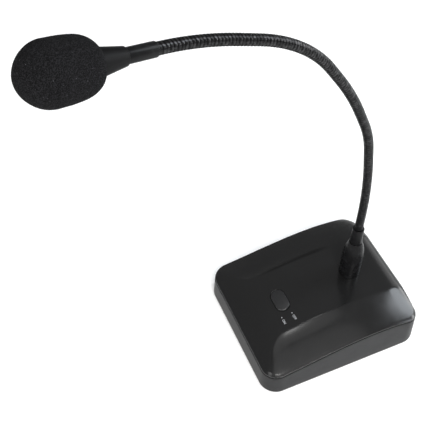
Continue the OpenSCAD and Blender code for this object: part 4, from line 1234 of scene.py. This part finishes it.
class MIC_OT_output_socket(bpy.types.Operator):
    """Model the output socket with its threaded bush, and its hexagon nut"""

    bl_idname = "mic.output_socket"
    bl_label = "Output socket"

    def execute(self, context):
        base = context.scene.mic_base
        low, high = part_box("output_socket")
        axis = base.socket_axis()
        face = base.rear_wall_y() - base.nut_seat
        end = face + base.nut_t + 2 * MM
        bore = base.socket_bore_r
        back = high.y - base.socket_depth - 1 * MM
        bore_end = end - base.socket_depth
        mouth = 0.6 * MM
        groove_r = bore + 0.6 * MM
        pitch = 0.75 * MM
        root_r = base.bush_r - 0.28 * MM
        ridges = []
        for k in range(int((end - face - mouth) / pitch)):
            y = face + k * pitch
            ridges += [(root_r, y), (base.bush_r, y + pitch / 2)]
        bm = bmesh.new()
        lathe(bm, [(0, back), (base.bush_r, back), (base.bush_r, face - 0.3 * MM), *ridges,
                   (root_r, end, 0.3 * MM), (bore + 0.5 * MM, end), (bore, end - mouth), (bore, end - 7 * MM),
                   (groove_r, end - 7.4 * MM), (groove_r, end - 9 * MM), (bore, end - 9.4 * MM),
                   (bore, bore_end), (0, bore_end)], axis)
        piece = finish_mesh(bm, "socket_bush", sharp=40)
        settle(piece, "base", "socket_plastic", "zinc_steel")

        bm = bmesh.new()
        wall_back = base.rear_wall_y() - base.wall - 0.5 * MM
        centre = Vector((0, (low.y + wall_back) / 2, base.socket_z))
        made = bmesh.ops.create_cube(bm, size=1.0)
        bmesh.ops.scale(bm, vec=(high.x - low.x, wall_back - low.y, high.z - low.z), verts=made["verts"])
        bmesh.ops.translate(bm, vec=centre, verts=made["verts"])
        bmesh.ops.bevel(bm, geom=list(bm.edges), offset=0.8 * MM, segments=3, profile=0.5, affect="EDGES",
                        material=-1)
        body = finish_mesh(bm, "socket_body", sharp=40)
        settle(body, "base", "socket_plastic", "socket_plastic", "output_socket")

        flat_r = base.nut_w / 2
        shoulder_r = flat_r * 0.98
        past_corner = flat_r * 1.2
        hole = base.bush_r + FIT
        chamfer = 0.45 * MM
        lead_in = 0.2 * MM
        top = face + base.nut_t
        points = 72

        def nut_row(radius, y):
            row = []
            for k in range(points):
                turn = TURN * k / points
                corner = flat_r / math.cos((turn % (math.pi / 3)) - math.pi / 6)
                r = min(corner, radius)
                row.append(axis @ Vector((r * math.cos(turn), r * math.sin(turn), y)))
            return row

        bm = bmesh.new()
        loft(bm, [nut_row(hole, face), nut_row(shoulder_r, face), nut_row(past_corner, face + chamfer),
                  nut_row(past_corner, top - chamfer), nut_row(shoulder_r, top), nut_row(hole + lead_in, top),
                  nut_row(hole, top - lead_in)], closed=True)
        nut = finish_mesh(bm, "socket_ring_nut", sharp=25)
        settle(nut, "base", "screw_steel", "zinc_steel", "socket_nut")
        return {"FINISHED"}


class MIC_OT_underside(bpy.types.Operator):
    """Model the rubber pad under the base and the cross recessed case screws"""

    bl_idname = "mic.underside"
    bl_label = "Underside"

    def execute(self, context):
        base = context.scene.mic_base
        edge = 0.5 * MM
        ring = 6 * MM

        def pad_row(inset, z):
            return flat_row(base.pad_half_w - inset, base.pad_half_d - inset, base.pad_r - inset, z,
                            PLATE_PLACES)

        rows = [pad_row(ring, 0)]
        rows += [pad_row(inset, drop) for inset, drop in quarter_arc(edge, 4)]
        rows += [pad_row(0, base.pad_t), pad_row(ring, base.pad_t)]
        bm = bmesh.new()
        loft(bm, rows)
        pad = finish_mesh(bm, "rubber_pad")
        settle(pad, "base", "pad_rubber", "rubber", "non_slip_pad")

        low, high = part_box("case_screws")
        core = 1.45 * MM
        point = 1.5 * MM
        recess = Vector((3.4, 0.8, 2)) * MM
        bm = bmesh.new()
        for x, y, turn in base.screw_places():
            lathe(bm, [(0, low.z), (base.screw_r, low.z, 0.9 * MM), (base.screw_r, base.screw_seat),
                       (core, base.screw_seat), (core, high.z - point), (0, high.z)], upright(x, y), steps=32)
        screws = finish_mesh(bm, "case_screw_set", sharp=40)
        for across in (0, QUARTER):
            cut = bmesh.new()
            for x, y, turn in base.screw_places():
                made = bmesh.ops.create_cube(cut, size=1.0)["verts"]
                bmesh.ops.scale(cut, vec=recess, verts=made)
                bmesh.ops.rotate(cut, matrix=Matrix.Rotation(turn + across, 3, "Z"), verts=made)
                bmesh.ops.translate(cut, vec=(x, y, low.z + 0.3 * MM), verts=made)
            carve(screws, finish_mesh(cut, "recess_cutter"))
        settle(screws, "base", "screw_steel", "zinc_steel", "case_screws")
        return {"FINISHED"}


class MIC_OT_inner_parts(bpy.types.Operator):
    """Finish the pieces inside the base and the head"""

    bl_idname = "mic.inner_parts"
    bl_label = "Inner parts"

    def execute(self, context):
        finishes = {
            "zinc_steel": ["ballast_plate", "ballast_screws", "board_screws", "holder_washer"],
            "brass": ["holder_nut"],
            "board_laminate": ["circuit_board"],
            "socket_plastic": ["switch_body"],
            "ivory_plastic": ["switch_plunger"],
            "rubber": ["neck_lead", "socket_lead", "capsule_gasket"],
            "satin_aluminium": ["capsule", "grille_cap"],
        }
        for finish, nodes in finishes.items():
            for node in nodes:
                mesh = frame["nodes"][node].data
                mesh.materials.clear()
                mesh.materials.append(finish_named(finish))
        return {"FINISHED"}


WHITE = (1.0, 1.0, 1.0)
LIT_POINT = Vector((0, 0, 0.1))

# Name, place and span in metres, power in watts and tint of each light
LIGHTS = (
    ("key_softbox", (1.43, -0.32, 1.74), (0.9, 0.9), 34.7, (1.0, 0.99, 0.97)),
    ("top_panel", (0.63, 0.0, 2.1), (1.2, 1.2), 1.9, WHITE),
    ("ridge_spot", (1.01, -0.13, 1.95), (0.25, 0.25), 0.8, WHITE),
    ("overhead_spot", (-0.35, 0.15, 2.1), (0.15, 0.15), 2, WHITE),
    ("rear_softbox", (0.05, 1.40, 1.20), (0.8, 1.1), 15, (0.88, 0.94, 1.0)),
    ("rear_strip", (0.1, 1.55, 0.48), (1.2, 0.45), 9, (0.97, 0.99, 1.0)),
    ("rear_glow", (-0.72, 1.55, 0.61), (0.5, 0.85), 1.0, WHITE),
    ("rear_card", (-0.72, 1.60, 0.42), (0.5, 0.45), 0.4, WHITE),
    ("front_fill", (0.7, -1.6, 1.0), (1.4, 1.4), 14, WHITE),
)


class MIC_OT_stage(bpy.types.Operator):
    """Set the pale floor, the soft lights and the camera"""

    bl_idname = "mic.stage"
    bl_label = "Stage"

    def execute(self, context):
        scene = context.scene
        stage = scene.mic_stage
        scene.view_settings.view_transform = "Standard"

        lens = bpy.data.cameras.new("camera")
        lens.lens = stage.lens
        lens.sensor_width = 36
        lens.clip_start = 0.01
        level = math.cos(stage.elevation)
        back = Vector((math.sin(stage.azimuth) * level, -math.cos(stage.azimuth) * level,
                       math.sin(stage.elevation)))
        scene.camera = self.aim("camera", lens, (stage.camera_x, stage.camera_y, stage.camera_z), -back)

        bm = bmesh.new()
        bmesh.ops.create_grid(bm, x_segments=4, y_segments=4, size=stage.floor_half)
        floor = finish_mesh(bm, "floor")
        floor.data.materials.append(finish_named("pale_floor"))

        for name, place, span, power, tint in LIGHTS:
            light = bpy.data.lights.new(name, "AREA")
            light.shape = "ELLIPSE"
            light.size, light.size_y = span
            light.energy = power
            light.color = tint
            self.aim(name, light, place, LIT_POINT - Vector(place))

        world = bpy.data.worlds.new("studio")
        world.use_nodes = True
        sky = Nodes(world.node_tree)
        direction = sky.add("ShaderNodeTexCoord", {}, {}, "Generated")
        height = sky.add("ShaderNodeSeparateXYZ", {}, {0: direction}, "Z")
        glow = sky.add("ShaderNodeMapRange", {}, {"Value": height, "From Min": -0.1, "From Max": 0.95,
                                                  "To Min": 0.22, "To Max": 0.29})
        background = sky.tree.nodes["Background"]
        sky.link(WHITE, background.inputs["Color"])
        sky.link(glow, background.inputs["Strength"])
        scene.world = world
        return {"FINISHED"}

    def aim(self, name, data, place, way):
        """Adds a camera or a light at a place, facing a way."""
        piece = bpy.data.objects.new(name, data)
        piece.location = place
        piece.rotation_mode = "QUATERNION"
        piece.rotation_quaternion = way.to_track_quat("-Z", "Y")
        bpy.context.scene.collection.objects.link(piece)
        return piece


class MIC_PT_panel(bpy.types.Panel):
    """List the microphone's pieces in the sidebar"""

    bl_label = "Conference microphone"
    bl_idname = "MIC_PT_panel"
    bl_space_type = "VIEW_3D"
    bl_region_type = "UI"
    bl_category = "Microphone"

    def draw(self, context):
        for operator in OPERATORS:
            self.layout.operator(operator.bl_idname)
        for group, kind in SIZE_GROUPS.items():
            box = self.layout.box()
            box.label(text=kind.__name__)
            for name in kind.__annotations__:
                box.prop(getattr(context.scene, group), name)


OPERATORS = (MIC_OT_stage, MIC_OT_bottom_case, MIC_OT_top_cover, MIC_OT_button, MIC_OT_printed_marks,
             MIC_OT_neck_holder, MIC_OT_gooseneck, MIC_OT_head, MIC_OT_windscreen, MIC_OT_output_socket,
             MIC_OT_underside, MIC_OT_inner_parts)


def register():
    for kind in (*SIZE_GROUPS.values(), *OPERATORS, MIC_PT_panel):
        bpy.utils.register_class(kind)
    for name, kind in SIZE_GROUPS.items():
        setattr(bpy.types.Scene, name, bpy.props.PointerProperty(type=kind))


def unregister():
    for name in SIZE_GROUPS:
        delattr(bpy.types.Scene, name)
    for kind in reversed((*SIZE_GROUPS.values(), *OPERATORS, MIC_PT_panel)):
        bpy.utils.unregister_class(kind)


def main():
    register()
    for operator in OPERATORS:
        getattr(bpy.ops.mic, operator.bl_idname.removeprefix("mic."))()


if __name__ == "__main__":
    main()
